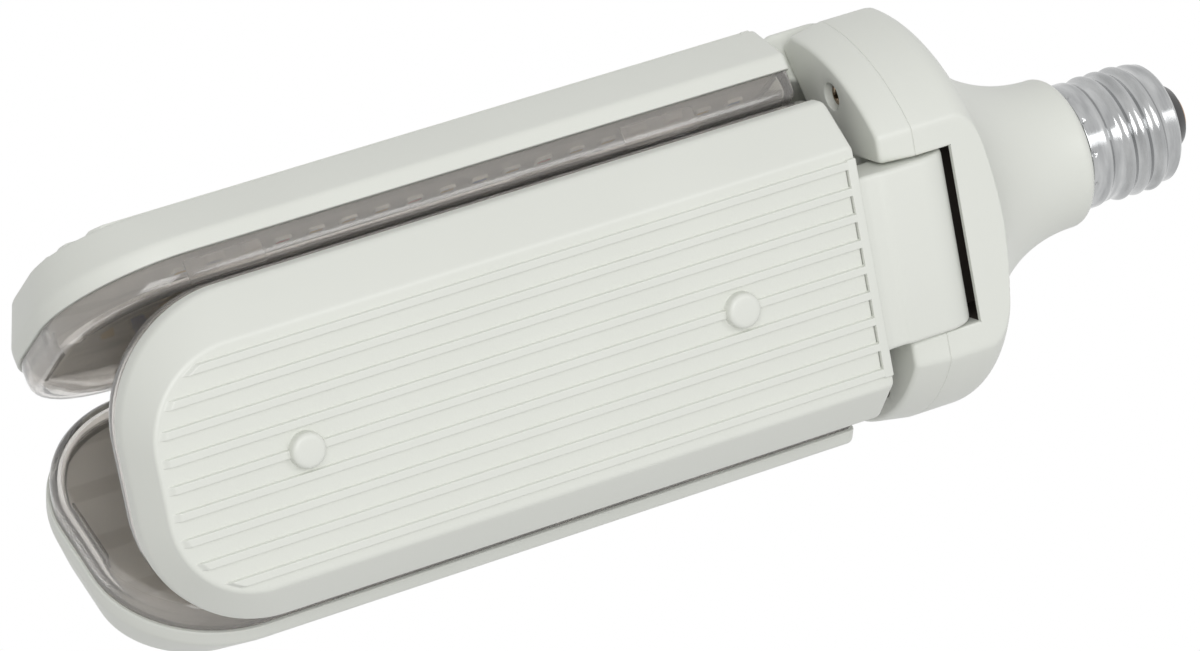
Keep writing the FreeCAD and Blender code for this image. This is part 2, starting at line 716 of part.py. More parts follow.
def make_blade_lens(number, turn):
    """The clear cover over the LEDs: a shallow tray with a lip inside the blade's rim, and clips."""
    tag = f"blade_{number}"
    body = new_body(f"{tag}_lens", turn)
    face = new_sketch(body, "XZ_Plane", f"{tag}_lens_outline", LENS_SEAT)
    inset_tongue(face, "lens_inset")
    tray = feature(body, "Pad", f"{tag}_lens_tray", face, reverse=True, Length=f"{LENS_SEAT} - {LENS_FACE}")
    round_edges(
        body, f"{tag}_lens_round", tray, "lens_edge", lambda edge: at_distance(edge, value(LENS_FACE)),
    )
    lip = new_sketch(body, "XZ_Plane", f"{tag}_lens_lip", LENS_SEAT)
    inset_tongue(lip, LIP_INSET)
    feature(body, "Pad", f"{tag}_lens_lip_pad", lip, Length="lens_lip_depth")
    inside = new_sketch(body, "XZ_Plane", f"{tag}_lens_inside", f"{LENS_SEAT} + lens_lip_depth")
    inset_tongue(inside, LENS_INNER)
    depth = f"{LENS_SEAT} + lens_lip_depth - {LENS_FACE} - lens_wall"
    feature(body, "Pocket", f"{tag}_lens_hollow", inside, Length=depth)
    clip_face = f"({BOARD_FRONT} - led_height - seat_clearance)"
    clip = new_sketch(body, "XZ_Plane", f"{tag}_lens_clips", clip_face)
    outer = f"(blade_width / 2 - {LENS_INNER})"
    for drop in ("first_post", "second_post"):
        for sign in ("", "-"):
            reach = [f"{sign}({outer} - clip_thickness)", f"{sign}({outer} + clip_thickness / 2)"]
            rectangle(
                clip, reach[0], reach[1], f"-({drop} + clip_length / 2)", f"-({drop} - clip_length / 2)",
            )
    tip = f"(blade_tip - {LENS_INNER})"
    rectangle(
        clip, "-clip_length / 2", "clip_length / 2",
        f"-({tip} + clip_thickness / 2)", f"-({tip} - clip_thickness)",
    )
    feature(body, "Pad", f"{tag}_lens_clip_pads", clip, reverse=True, Length="clip_depth")
    return body


def make_led_board(number, turn):
    """The aluminium board that carries a blade's LEDs, with two screw holes."""
    tag = f"blade_{number}"
    body = new_body(f"{tag}_led_board", turn)
    plate = new_sketch(body, "XZ_Plane", f"{tag}_board_outline", BOARD_FRONT)
    inset_tongue(plate, BOARD_INSET)
    for drop in ("first_post", "second_post"):
        circle(plate, "0", f"-{drop}", "board_screw_radius + slip_clearance")
    feature(body, "Pad", f"{tag}_board_plate", plate, Length="board_thickness")
    return body


def led_places():
    """Where the LEDs sit on a board, as (x, drop, row, column), kept clear of its rounded tip and screws."""
    inset = value(BOARD_INSET)
    half = size("blade_width") / 2 - inset
    first = size("blade_end") + inset + size("led_end_margin")
    tip = size("blade_tip") - inset - size("led_tip_margin")
    corner = size("blade_corner") - inset
    reach = corner - size("led_edge_margin") - size("led_length") / 2
    columns = int((tip - first) / size("led_pitch")) + 1
    rows = int(size("led_rows"))
    for row in range(rows):
        x = (row - (rows - 1) / 2) * size("led_row_pitch")
        for column in range(columns):
            drop = first + column * size("led_pitch")
            past = drop - (size("blade_tip") - inset - corner)
            aside = abs(x) - (half - corner)
            if past <= 0 or aside <= 0 or math.hypot(past, aside) <= reach:
                yield x, drop, row, column


def led_colour(row, column):
    """The mix of colours: mostly warm white, with red and a few blue ones in step along the rows."""
    if (column + 2 * row) % 4 == 0:
        return "red"
    if (column + 2 * row) % 8 == 6:
        return "blue"
    return "white"


def make_led_groups(number, turn):
    """One node for each colour of LED on a blade, each LED a chip of its own on the board's face."""
    groups = {"white": [], "red": [], "blue": []}
    width, length, height = size("led_width"), size("led_length"), size("led_height")
    front = value(BOARD_FRONT)
    for x, drop, row, column in led_places():
        corner = Vector(x - width / 2, -front, -drop - length / 2)
        chip = Part.makeBox(width, height, length, corner)
        groups[led_colour(row, column)].append(chip)
    nodes = []
    for colour, chips in groups.items():
        node = doc.addObject("Part::Feature", f"blade_{number}_{colour}_leds")
        node.Label = f"blade_{number}_{colour}_leds"
        node.Shape = Part.makeCompound(chips)
        node.Placement = Placement(Vector(), Rotation(Vector(0, 0, 1), turn))
        nodes.append(node)
    return nodes


def primitive(kind, name, **formulas):
    """A box, cylinder or torus whose sizes follow formulas."""
    result = doc.addObject(f"Part::{kind}", name)
    bind(result, **formulas)
    return result


def group(label, members, turn=0.0):
    """Separate solids that share one node."""
    result = doc.addObject("Part::Compound", label)
    result.Label = label
    result.Links = members
    result.Placement = Placement(Vector(), Rotation(Vector(0, 0, 1), turn))
    return result


def make_screw(name, axis, head_radius, head_height, shank_radius, shank_length):
    """A round-headed screw at the origin: its head behind the seat, its shank along the axis."""
    head = primitive("Cylinder", f"{name}_head", Radius=head_radius, Height=head_height)
    place(head, z=f"-({head_height})")
    shank = primitive("Cylinder", f"{name}_shank", Radius=shank_radius, Height=shank_length)
    screw = doc.addObject("Part::Fuse", name)
    screw.Base = head
    screw.Tool = shank
    screw.Placement = Placement(Vector(), Rotation(Vector(0, 0, 1), axis))
    return screw


def make_hub_screws():
    """Three screws that draw the two hub halves together, up from the cover's recesses."""
    screws = []
    for number, turn in BLADE_TURNS.items():
        screw = make_screw(
            f"hub_screw_{number}", Vector(0, 0, 1), "hub_screw_head", "hub_screw_recess / 2",
            "hub_screw_radius", "hub_screw_length",
        )
        place(
            screw, x=f"-{SCREW_CIRCLE} * sin({turn} deg)", y=f"{SCREW_CIRCLE} * cos({turn} deg)",
            z=f"-{SCREW_SEAT}",
        )
        screws.append(screw)
    return group("hub_screws", screws)


def make_board_screws(number, turn):
    """Two screws through a blade's LED board into its bosses."""
    screws = []
    for name, drop in (("upper", "first_post"), ("lower", "second_post")):
        screw = make_screw(
            f"blade_{number}_{name}_screw", Vector(0, -1, 0), "board_screw_head",
            "board_screw_head_height", "board_screw_radius", "board_screw_length",
        )
        place(screw, y=f"-{BOARD_FRONT}", z=f"-{drop}")
        screws.append(screw)
    return group(f"blade_{number}_board_screws", screws, turn)


def make_friction_rings(number, turn):
    """Two rubber rings on a blade's journals: they rub in the hub and hold the blade where it is put."""
    rings = []
    for name, sign in (("left", "-"), ("right", "")):
        ring = primitive(
            "Torus", f"blade_{number}_{name}_ring", Radius1=RING_RADIUS, Radius2="ring_section / 2",
        )
        ring.Placement = Placement(Vector(), Rotation(Vector(0, 0, 1), Vector(1, 0, 0)))
        place(ring, x=f"{sign}({SLOT_HALF} + ring_seat_depth / 2)", y=f"-{HINGE_DISTANCE}", z="-hinge_drop")
        rings.append(ring)
    return group(f"blade_{number}_friction_rings", rings, turn)


def make_terminal(number, turn):
    """The wire terminal on the back of a blade's LED board."""
    terminal = primitive(
        "Box", f"blade_{number}_terminal_block", Length="terminal_width", Width="terminal_height",
        Height="terminal_length",
    )
    place(
        terminal, x="lead_offset - terminal_width / 2", y=f"-({BOARD_BACK} + terminal_height)",
        z=f"-({TERMINAL_TOP} + terminal_length)",
    )
    return group(f"blade_{number}_terminal", [terminal], turn)


def lead_along(points, bend):
    """A round lead along straight runs joined by arcs of one bend radius."""
    edges = []
    start = points[0]
    for before, corner, after in zip(points, points[1:], points[2:]):
        inward = (before - corner).normalize()
        outward = (after - corner).normalize()
        half_turn = (math.pi - inward.getAngle(outward)) / 2
        reach = bend * math.tan(half_turn)
        first, last = corner + inward * reach, corner + outward * reach
        bisector = (inward + outward).normalize()
        middle = corner + bisector * (bend / math.cos(half_turn) - bend)
        edges.append(Part.LineSegment(start, first).toShape())
        edges.append(Part.Arc(first, middle, last).toShape())
        start = last
    edges.append(Part.LineSegment(start, points[-1]).toShape())
    path = Part.Wire(edges)
    section = Part.Wire(Part.Circle(points[0], points[1] - points[0], size("lead_radius")).toShape())
    return path.makePipeShell([section], True, True)


def lead_node(label, shapes, turn=0.0):
    """A node of one or more leads."""
    node = doc.addObject("Part::Feature", label)
    node.Label = label
    node.Shape = shapes[0] if len(shapes) == 1 else Part.makeCompound(shapes)
    node.Placement = Placement(Vector(), Rotation(Vector(0, 0, 1), turn))
    return node


def make_blade_lead(number, turn):
    """A blade's lead: in along the hinge axis, then down the arm to the board's terminal."""
    hinge = -value(HINGE_DISTANCE)
    drop = -size("hinge_drop")
    points = [
        Vector(value(JOURNAL_END), hinge, drop),
        Vector(size("lead_offset"), hinge, drop),
        Vector(size("lead_offset"), hinge, -value(TERMINAL_TOP)),
    ]
    return lead_node(f"blade_{number}_lead", [lead_along(points, size("lead_bend"))], turn)


def make_hub_leads():
    """Three leads from the driver's output to the hinges, each ending on its hinge axis."""
    hinge = -value(HINGE_DISTANCE)
    drop = -size("hinge_drop")
    reach = value(LEAD_ASIDE)
    corner = Vector(reach, -size("hub_lead_turn"), drop)
    centre = Vector(0, 0, drop)
    end = centre + (corner - centre).normalize() * (size("output_radius") + size("fit_clearance"))
    points = [Vector(value(JOURNAL_END), hinge, drop), Vector(reach, hinge, drop), corner, end]
    one = lead_along(points, size("hub_lead_bend"))
    shapes = []
    for turn in BLADE_TURNS.values():
        copy = one.copy()
        copy.rotate(Vector(), Vector(0, 0, 1), turn)
        shapes.append(copy)
    return lead_node("hub_leads", shapes)


def make_live_lead():
    """The lead from the end contact straight down to the driver board."""
    points = [Vector(0, 0, value("insulator_top")), Vector(0, 0, -size("driver_top"))]
    return lead_node("live_lead", [lead_along(points, size("lead_bend"))])


def make_neutral_lead():
    """The lead from the driver board up through the neck and out to the cap's shell."""
    aside = value(f"{SHELL_BORE} - part_spacing - lead_bend")
    height = value("skirt_height + skirt_taper + part_spacing")
    points = [
        Vector(aside, 0, -size("driver_top")),
        Vector(aside, 0, height),
        Vector(value(f"{SHELL_BORE} - fit_clearance"), 0, height),
    ]
    return lead_node("neutral_lead", [lead_along(points, size("lead_bend"))])


def make_driver():
    """The driver in the neck: a board in two rails, its parts on both faces and its output below."""
    board = primitive(
        "Box", "driver_board", Length="driver_width", Width="driver_thickness",
        Height="driver_bottom - driver_top",
    )
    place(board, x="-driver_width / 2", y="-driver_thickness / 2", z="-driver_bottom")
    output = primitive("Cylinder", "output_terminal", Radius="output_radius", Height="output_height")
    place(output, z="-(driver_bottom + output_height)")
    face = "driver_thickness / 2"
    capacitor = primitive(
        "Cylinder", "smoothing_capacitor", Radius="capacitor_radius", Height="capacitor_height",
    )
    place(
        capacitor, x="-(capacitor_radius - part_spacing / 2)", y=f"{face} + capacitor_radius",
        z="-(driver_top + part_spacing + capacitor_height)",
    )
    transformer = primitive(
        "Box", "transformer", Length="transformer_width", Width="transformer_depth",
        Height="transformer_height",
    )
    transformer_top = "(driver_top + 2 * part_spacing + film_height)"
    place(
        transformer, x="-transformer_width / 2", y=f"-({face} + transformer_depth)",
        z=f"-({transformer_top} + transformer_height)",
    )
    film = primitive(
        "Box", "film_capacitor", Length="film_width", Width="film_depth", Height="film_height",
    )
    place(
        film, x="-film_width / 2", y=f"-({face} + film_depth)",
        z="-(driver_top + part_spacing + film_height)",
    )
    rectifier = primitive(
        "Box", "bridge_rectifier", Length="rectifier_width", Width="rectifier_depth",
        Height="rectifier_height",
    )
    place(rectifier, x="part_spacing", y=face, z="-(driver_top + part_spacing + rectifier_height)")
    fuse = primitive("Cylinder", "fuse_resistor", Radius="fuse_radius", Height="fuse_height")
    fuse_top = "(driver_top + 2 * part_spacing + rectifier_height)"
    place(
        fuse, x="part_spacing + rectifier_width / 2", y=f"{face} + fuse_radius",
        z=f"-({fuse_top} + fuse_height)",
    )
    chip = primitive("Box", "driver_chip", Length="chip_width", Width="chip_depth", Height="chip_height")
    place(chip, x="-chip_width / 2", y=face, z=f"-({fuse_top} + fuse_height + part_spacing + chip_height)")
    return [board, output, capacitor, transformer, film, rectifier, fuse, chip]


def make_blade(number, turn):
    """Every piece of one blade."""
    return [
        make_blade_shell(number, turn),
        make_blade_lens(number, turn),
        make_led_board(number, turn),
        *make_led_groups(number, turn),
        make_board_screws(number, turn),
        make_friction_rings(number, turn),
        make_terminal(number, turn),
        make_blade_lead(number, turn),
    ]


def check(pieces):
    """Stop if a feature failed, a cut removed nothing, or a piece is empty or broken."""
    for thing in doc.Objects:
        if "Invalid" in thing.State or "Error" in thing.State:
            raise RuntimeError(f"{thing.Name} failed: {thing.State}")
        if thing.TypeId in ("PartDesign::Pocket", "PartDesign::Groove", "PartDesign::SubtractiveLoft"):
            if thing.Shape.Volume >= thing.BaseFeature.Shape.Volume:
                raise RuntimeError(f"{thing.Name} cuts nothing")
    for piece in pieces:
        if piece.Shape.isNull() or not piece.Shape.isValid():
            raise RuntimeError(f"{piece.Label} has no valid shape")


def main():
    """Build every piece, check it and write its file."""
    pieces = [make_cap_shell(), make_cap_insulator(), make_cap_contact()]
    pieces += [make_hub_housing(), make_hub_cover(), make_hub_screws()]
    pieces += make_driver()
    pieces += [make_live_lead(), make_neutral_lead(), make_hub_leads()]
    for number, turn in BLADE_TURNS.items():
        pieces += make_blade(number, turn)
    doc.recompute()
    check(pieces)
    os.makedirs("parts", exist_ok=True)
    for piece in pieces:
        piece.Shape.exportStep(f"parts/{piece.Label}.step")
        print(f"{piece.Label}: {len(piece.Shape.Solids)} solid(s), {piece.Shape.Volume:.1f} mm3")


main()
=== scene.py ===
# %% [markdown]
# # A foldable grow light, dressed for the camera
# The lamp is a screw cap, a white hub and three white blades with clear covers over their LEDs.
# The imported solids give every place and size. This script lays finer surfaces over them: soft
# moulded edges, a rolled thread, ribs, clear covers and small LED packages. Each surface is a
# formula on a grid of two parameters, so whole arrays are worked out at once. Surfaces are in
# millimetres until `piece` makes a mesh of them; the camera and the studio are in metres.

# %% load the frame
import math

import bmesh
import bpy
import numpy as np
from mathutils import Matrix, geometry


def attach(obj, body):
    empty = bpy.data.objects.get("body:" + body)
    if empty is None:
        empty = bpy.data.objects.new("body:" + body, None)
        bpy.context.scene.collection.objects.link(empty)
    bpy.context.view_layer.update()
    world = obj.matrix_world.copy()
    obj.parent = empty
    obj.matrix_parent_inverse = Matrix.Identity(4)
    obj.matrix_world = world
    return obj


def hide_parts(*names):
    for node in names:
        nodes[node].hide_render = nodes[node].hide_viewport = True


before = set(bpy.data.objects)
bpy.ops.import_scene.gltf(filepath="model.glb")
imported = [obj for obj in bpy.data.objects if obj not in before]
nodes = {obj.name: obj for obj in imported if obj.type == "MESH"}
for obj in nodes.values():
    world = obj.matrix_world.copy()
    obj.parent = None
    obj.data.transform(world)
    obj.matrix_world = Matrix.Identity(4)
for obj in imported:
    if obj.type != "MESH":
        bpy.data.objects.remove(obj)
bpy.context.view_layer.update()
scene = bpy.context.scene

# %% [markdown]
# ## The camera
# The lamp lies across the picture and is seen from below its hub. The camera's place and turn
# were solved from points of the lamp that are known both in the solids and in the picture. A
# long lens keeps the near and far blade almost the same size.

# %% camera
VIEW_RIGHT = np.array([0.180467, -0.445075, 0.877120])
VIEW_DOWN = np.array([0.945428, -0.167470, -0.279500])
VIEW_AHEAD = np.array([0.271290, 0.879694, 0.390564])
VIEW_FROM = np.array([-0.329230, -1.086134, -0.588410])
SENSOR_MM, LENS_MM = 36.0, 189.689


def placed(x_axis, y_axis, z_axis, at):
    """The matrix of an object whose own axes point along three directions, at a place."""
    matrix = np.eye(4)
    matrix[:3] = np.column_stack([x_axis, y_axis, z_axis, at])
    return Matrix(matrix.tolist())


camera = bpy.data.objects.new("camera", bpy.data.cameras.new("camera"))
camera.data.sensor_width, camera.data.lens = SENSOR_MM, LENS_MM
camera.data.clip_start, camera.data.clip_end = 0.05, 50.0
camera.matrix_world = placed(VIEW_RIGHT, -VIEW_DOWN, -VIEW_AHEAD, VIEW_FROM)
scene.collection.objects.link(camera)
scene.camera = camera
print("camera at", np.round(VIEW_FROM, 3).tolist())

# %% [markdown]
# ## Arrays into meshes
# A surface is an array of points with two indices. Neighbouring points make one four-sided face.
# `piece` joins several such patches into one object, and shades it smooth except at real edges.

# %% mesh helpers
WELD_M = 1e-6


def patch_faces(rows, columns, wrap=False):
    """Corner numbers of the quads between neighbouring points; wrap joins the last column to the first."""
    spans = columns if wrap else columns - 1
    row, column = np.meshgrid(np.arange(rows - 1) * columns, np.arange(spans), indexing="ij")
    after = (column + 1) % columns
    corners = [row + column, row + after, row + columns + after, row + columns + column]
    return np.stack([c.ravel() for c in corners], axis=1)


def patch(points, wrap=False, flip=False, finish=0):
    """One patch of a piece: its points, its faces, and which of the piece's finishes it has."""
    faces = patch_faces(points.shape[0], points.shape[1], wrap)
    return points.reshape(-1, 3), (faces[:, ::-1] if flip else faces), finish


def lid(loop, flip=False, finish=0):
    """A flat face with the whole closed loop as its outline."""
    order = np.arange(len(loop))[None, :]
    return loop, (order[:, ::-1] if flip else order), finish


def piece(name, patches, finishes, body, stands_for, edge=35.0):
    """Joins patches into one welded object that rides on a body and stands for the named solids.

    Edges sharper than `edge` degrees stay crisp.
    """
    starts = np.cumsum([0] + [len(points) for points, _, _ in patches])
    points = np.concatenate([points for points, _, _ in patches]) * 0.001
    faces = [face for (_, part, _), start in zip(patches, starts) for face in (part + start).tolist()]
    finish_of = np.repeat([finish for _, _, finish in patches], [len(part) for _, part, _ in patches])
    mesh = bpy.data.meshes.new(name)
    mesh.from_pydata(points.tolist(), [], faces)
    for finish in finishes:
        mesh.materials.append(finish)
    mesh.polygons.foreach_set("material_index", finish_of.astype(np.int32))
    mesh.polygons.foreach_set("use_smooth", np.ones(len(mesh.polygons), bool))
    weld = bmesh.new()
    weld.from_mesh(mesh)
    bmesh.ops.remove_doubles(weld, verts=weld.verts, dist=WELD_M)
    weld.to_mesh(mesh)
    weld.free()
    mesh.set_sharp_from_angle(angle=math.radians(edge))
    mesh.update()
    made = bpy.data.objects.new(name, mesh)
    scene.collection.objects.link(made)
    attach(made, body)
    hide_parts(*stands_for)
    print(f"{name}: {len(points)} points, {len(mesh.polygons)} faces")


def soften(corners, reach, steps=5):
    """Rounds the inner corners of a polyline of points or of whole loops.

    A corner B between A and C becomes the curve (1-t)^2 P + 2t(1-t) B + t^2 Q, where P and Q lie
    `reach` from B towards A and C.
    """
    corners = [np.asarray(c, float) for c in corners]
    reach = np.broadcast_to(reach, len(corners))
    out = [corners[0]]
    for before, here, after, r in zip(corners, corners[1:], corners[2:], reach[1:]):
        if r <= 0:
            out.append(here)
            continue
        back, on = before - here, after - here
        p = here + back / np.maximum(np.linalg.norm(back, axis=-1, keepdims=True), 1e-9) * r
        q = here + on / np.maximum(np.linalg.norm(on, axis=-1, keepdims=True), 1e-9) * r
        out += [(1 - t) ** 2 * p + 2 * t * (1 - t) * here + t * t * q for t in np.linspace(0, 1, steps)]
    return np.stack(out + [corners[-1]])


def lathe(profile, columns=96):
    """A profile of (radius, height) points turned about Z: (r cos a, r sin a, z)."""
    profile = np.asarray(profile, float)
    angle = np.linspace(0, 2 * np.pi, columns, endpoint=False)
    r, z = profile[:, :1], profile[:, 1:]
    return np.stack([r * np.cos(angle), r * np.sin(angle), np.broadcast_to(z, (len(r), columns))], axis=-1)


def arc(x, z, radius, angles):
    """Points of a circle about (x, z) at the given angles."""
    return np.column_stack([x + radius * np.cos(angles), z + radius * np.sin(angles)])


def ramp(x, low, high):
    """0 below low, 1 above high, and a smooth S curve between: t^2 (3 - 2t)."""
    t = np.clip((x - low) / (high - low), 0, 1)
    return t * t * (3 - 2 * t)


# %% [markdown]
# ## The studio
# The picture has a pure white ground and soft even light. White walls all round give the ground and
# the reflections. A large soft lamp a little above the camera gives the shapes their shade and the
# ribs a faint shadow, and a small lamp far to the right gives the cap its highlights.

# %% studio
WALL_LIGHT = 0.52
BLADES_MIDDLE = np.array([0.0, 0.0, -0.1])


def linear(code):
    """An sRGB hex colour as linear numbers: c/12.92 when dark, ((c + 0.055)/1.055)^2.4 otherwise."""
    c = np.array([int(code[i:i + 2], 16) for i in (1, 3, 5)]) / 255
    return (*np.where(c <= 0.04045, c / 12.92, ((c + 0.055) / 1.055) ** 2.4).tolist(), 1.0)


def feed(node, inputs):
    """Fills a node's inputs, by name or number: a socket is linked, anything else becomes the value."""
    for key, value in inputs.items():
        if isinstance(value, bpy.types.NodeSocket):
            node.id_data.links.new(value, node.inputs[key])
        else:
            node.inputs[key].default_value = value


def add(tree, kind, inputs=None, **settings):
    """Adds one node with its settings and fills its inputs."""
    node = tree.nodes.new(kind)
    for key, value in settings.items():
        setattr(node, key, value)
    feed(node, inputs or {})
    return node


def seen_ray(tree):
    """1 for a ray that shows the ground to the eye: straight on, in a gloss or through the clear covers."""
    rays = add(tree, "ShaderNodeLightPath").outputs
    seen = add(tree, "ShaderNodeMath", {0: rays["Is Camera Ray"], 1: rays["Is Transmission Ray"]},
               operation="MAXIMUM")
    return add(tree, "ShaderNodeMath", {0: seen.outputs[0], 1: rays["Is Glossy Ray"]},
               operation="MAXIMUM").outputs[0]


scene.view_settings.view_transform = "Standard"
scene.world = scene.world or bpy.data.worlds.new("studio")
scene.world.use_nodes = True
tree = scene.world.node_tree
tree.nodes.clear()
lit = add(tree, "ShaderNodeBackground", {"Color": (1, 1, 1, 1), "Strength": WALL_LIGHT})
white = add(tree, "ShaderNodeBackground", {"Color": (1, 1, 1, 1), "Strength": 1.0})
walls = add(tree, "ShaderNodeMixShader", {0: seen_ray(tree), 1: lit.outputs[0], 2: white.outputs[0]})
add(tree, "ShaderNodeOutputWorld", {"Surface": walls.outputs[0]})


def soft_lamp(name, right, up, back, across, watts):
    """A square lamp that faces the blades' middle, placed from there along the camera's own directions."""
    at = BLADES_MIDDLE + right * VIEW_RIGHT - up * VIEW_DOWN - back * VIEW_AHEAD
    lamp = bpy.data.objects.new(name, bpy.data.lights.new(name, "AREA"))
    lamp.data.size, lamp.data.energy = across, watts
    toward = (BLADES_MIDDLE - at) / np.linalg.norm(BLADES_MIDDLE - at)
    side = np.cross(toward, -VIEW_DOWN)
    side /= np.linalg.norm(side)
    lamp.matrix_world = placed(side, np.cross(side, toward), -toward, at)
    scene.collection.objects.link(lamp)


soft_lamp("key_lamp", right=0.12, up=0.12, back=1.6, across=0.9, watts=10.5)
soft_lamp("cap_lamp", right=1.02, up=0.33, back=1.04, across=0.45, watts=2.6)
print("studio: white walls and two soft lamps")

# %% [markdown]
# A pale painted floor closes the room far below, since this lamp hangs from a ceiling. It is a gentle
# dish: flat in the middle and rising towards the walls, z = h (r / R)^4, so that no hard line shows
# where floor and wall meet. Nine tenths of what the camera sees of it is plain white, like the walls.

# %% floor
FLOOR_RADIUS, FLOOR_DROP, FLOOR_RISE = 24.0, 6.0, 2.0
FLOOR_RINGS, FLOOR_COLUMNS = 40, 64
PLAIN_WHITE_SHARE = 0.9


def new_finish(name):
    """A new material, its node tree, its shader, and the socket with places in the object's own axes."""
    made = bpy.data.materials.new(name)
    made.use_nodes = True
    tree = made.node_tree
    return made, tree, tree.nodes["Principled BSDF"], add(tree, "ShaderNodeTexCoord").outputs["Object"]


floor_paint, tree, shader, place = new_finish("pale floor paint")
grain = add(tree, "ShaderNodeTexNoise", {"Vector": place, "Scale": 6.0, "Detail": 3.0})
tone = add(tree, "ShaderNodeMix", {0: grain.outputs["Fac"], 6: linear("#fbfbfa"), 7: linear("#ffffff")},
           data_type="RGBA")
feed(shader, {"Base Color": tone.outputs[2], "Roughness": 0.7})
share = add(tree, "ShaderNodeMath", {0: seen_ray(tree), 1: PLAIN_WHITE_SHARE}, operation="MULTIPLY")
glow = add(tree, "ShaderNodeEmission", {"Color": tone.outputs[2], "Strength": 1.0})
both = add(tree, "ShaderNodeMixShader", {0: share.outputs[0], 1: shader.outputs[0], 2: glow.outputs[0]})
feed(tree.nodes["Material Output"], {"Surface": both.outputs[0]})

radius = np.linspace(0.0, FLOOR_RADIUS, FLOOR_RINGS)[:, None]
angle = np.linspace(0, 2 * np.pi, FLOOR_COLUMNS, endpoint=False)[None, :]
height = -FLOOR_DROP + FLOOR_RISE * (radius / FLOOR_RADIUS) ** 4 + 0 * angle
dish = np.stack([radius * np.cos(angle), radius * np.sin(angle), height], axis=-1)
mesh = bpy.data.meshes.new("floor")
mesh.from_pydata(dish.reshape(-1, 3).tolist(), [], patch_faces(FLOOR_RINGS, FLOOR_COLUMNS, True).tolist())
mesh.materials.append(floor_paint)
mesh.polygons.foreach_set("use_smooth", np.ones(len(mesh.polygons), bool))
floor = bpy.data.objects.new("floor", mesh)
scene.collection.objects.link(floor)
print("floor", FLOOR_DROP, "m below the cap")

# %% [markdown]
# ## Finishes
# Most of the lamp is moulded polycarbonate with a satin, finely spark-eroded skin. To the eye it is
# an even, slightly greenish white with soft highlights, and a grain of a few tenths of a millimetre
# that only shows in the highlights. `moulded` makes such skins: a wide noise shifts the colour a
# little, as moulded plastic does, and a fine noise gives the bump.

# %% moulded plastics, gels, lacquers and rubber
def moulded(name, shade, light, grain_mm, bump_mm, patch_mm=30.0, **surface):
    """A finish whose colour drifts between two shades over patch_mm, with a bump of grain grain_mm."""
    made, tree, shader, place = new_finish(name)
    drift = add(tree, "ShaderNodeTexNoise", {"Vector": place, "Scale": 1000.0 / patch_mm, "Detail": 2.0})
    tone = add(tree, "ShaderNodeMix", {0: drift.outputs["Fac"], 6: linear(shade), 7: linear(light)},
               data_type="RGBA")
    grain = add(tree, "ShaderNodeTexNoise", {"Vector": place, "Scale": 1000.0 / grain_mm, "Detail": 2.0})
    bump = add(tree, "ShaderNodeBump",
               {"Height": grain.outputs["Fac"], "Strength": 0.35, "Distance": bump_mm * 0.001})
    feed(shader, {"Base Color": tone.outputs[2], "Normal": bump.outputs["Normal"], **surface})
    return made


# Moulded and satin: an even white with broad soft highlights. The slots' insides are the same white plastic with
# painted deep shade: a dark brown colour stands in for the shade of the closed hub.
white_shell = moulded("white satin polycarbonate", "#dddfd8", "#e2e4dd",
                      grain_mm=0.5, bump_mm=0.03, Roughness=0.42, IOR=1.58)
painted_shade_shell = moulded("white polycarbonate, painted deep shade", "#4a433d", "#564e47",
                      grain_mm=0.5, bump_mm=0.03, Roughness=0.7, IOR=1.58)
# Poured glass: deep black with a small sharp gloss.
black_glass = moulded("black glass insulation", "#080808", "#101011",
                      grain_mm=1.5, bump_mm=0.02, patch_mm=6.0, Roughness=0.3, IOR=1.45)
# Moulded resin: a dull clean white round each LED.
led_case = moulded("white LED package resin", "#e9e6dd", "#f1efe8",
                   grain_mm=0.3, bump_mm=0.01, patch_mm=3.0, Roughness=0.4, IOR=1.55)
# Cured silicone gels: strong colour under a wet gloss.
phosphor_gel = moulded("yellow phosphor gel", "#dfae35", "#edc24c",
                       grain_mm=0.3, bump_mm=0.02, patch_mm=2.0, Roughness=0.25, IOR=1.41)
red_gel = moulded("red LED gel", "#d3301a", "#e64a28",
                  grain_mm=0.3, bump_mm=0.02, patch_mm=2.0, Roughness=0.2, IOR=1.41)
blue_gel = moulded("blue LED gel", "#3a5fc4", "#5478d6",
                   grain_mm=0.3, bump_mm=0.02, patch_mm=2.0, Roughness=0.2, IOR=1.41)
# Moulded rubber: almost black and matt.
ring_rubber = moulded("black nitrile rubber", "#0f0f0f", "#1a1a19",
                      grain_mm=0.4, bump_mm=0.03, patch_mm=4.0, Roughness=0.75, IOR=1.52)
# Moulded nylon: a waxy warm white. Extruded PVC: a smoother, greyer one.
terminal_nylon = moulded("white nylon terminal", "#e0ddd2", "#ebe8df",
                         grain_mm=0.6, bump_mm=0.03, patch_mm=5.0, Roughness=0.5, IOR=1.53)
lead_jacket = moulded("white PVC lead jacket", "#dcdad3", "#e6e4de",
                      grain_mm=0.8, bump_mm=0.03, patch_mm=8.0, Roughness=0.45, IOR=1.53)
# Lacquered laminate: a deep green with a light gloss and the weave's faint grain.
board_laminate = moulded("green lacquered glass laminate", "#1c5a38", "#2a6f48",
                         grain_mm=0.8, bump_mm=0.04, patch_mm=5.0, Roughness=0.35, IOR=1.55)
# Shrunk sleeve: dark blue and smooth. Wound tape: yellow with a soft shine.
capacitor_sleeve = moulded("dark shrink sleeve", "#12162b", "#1b2140",
                           grain_mm=1.0, bump_mm=0.02, patch_mm=6.0, Roughness=0.3, IOR=1.54)
transformer_tape = moulded("yellow polyester tape", "#c9a32c", "#dcb840",
                           grain_mm=1.5, bump_mm=0.03, patch_mm=5.0, Roughness=0.4, IOR=1.6)
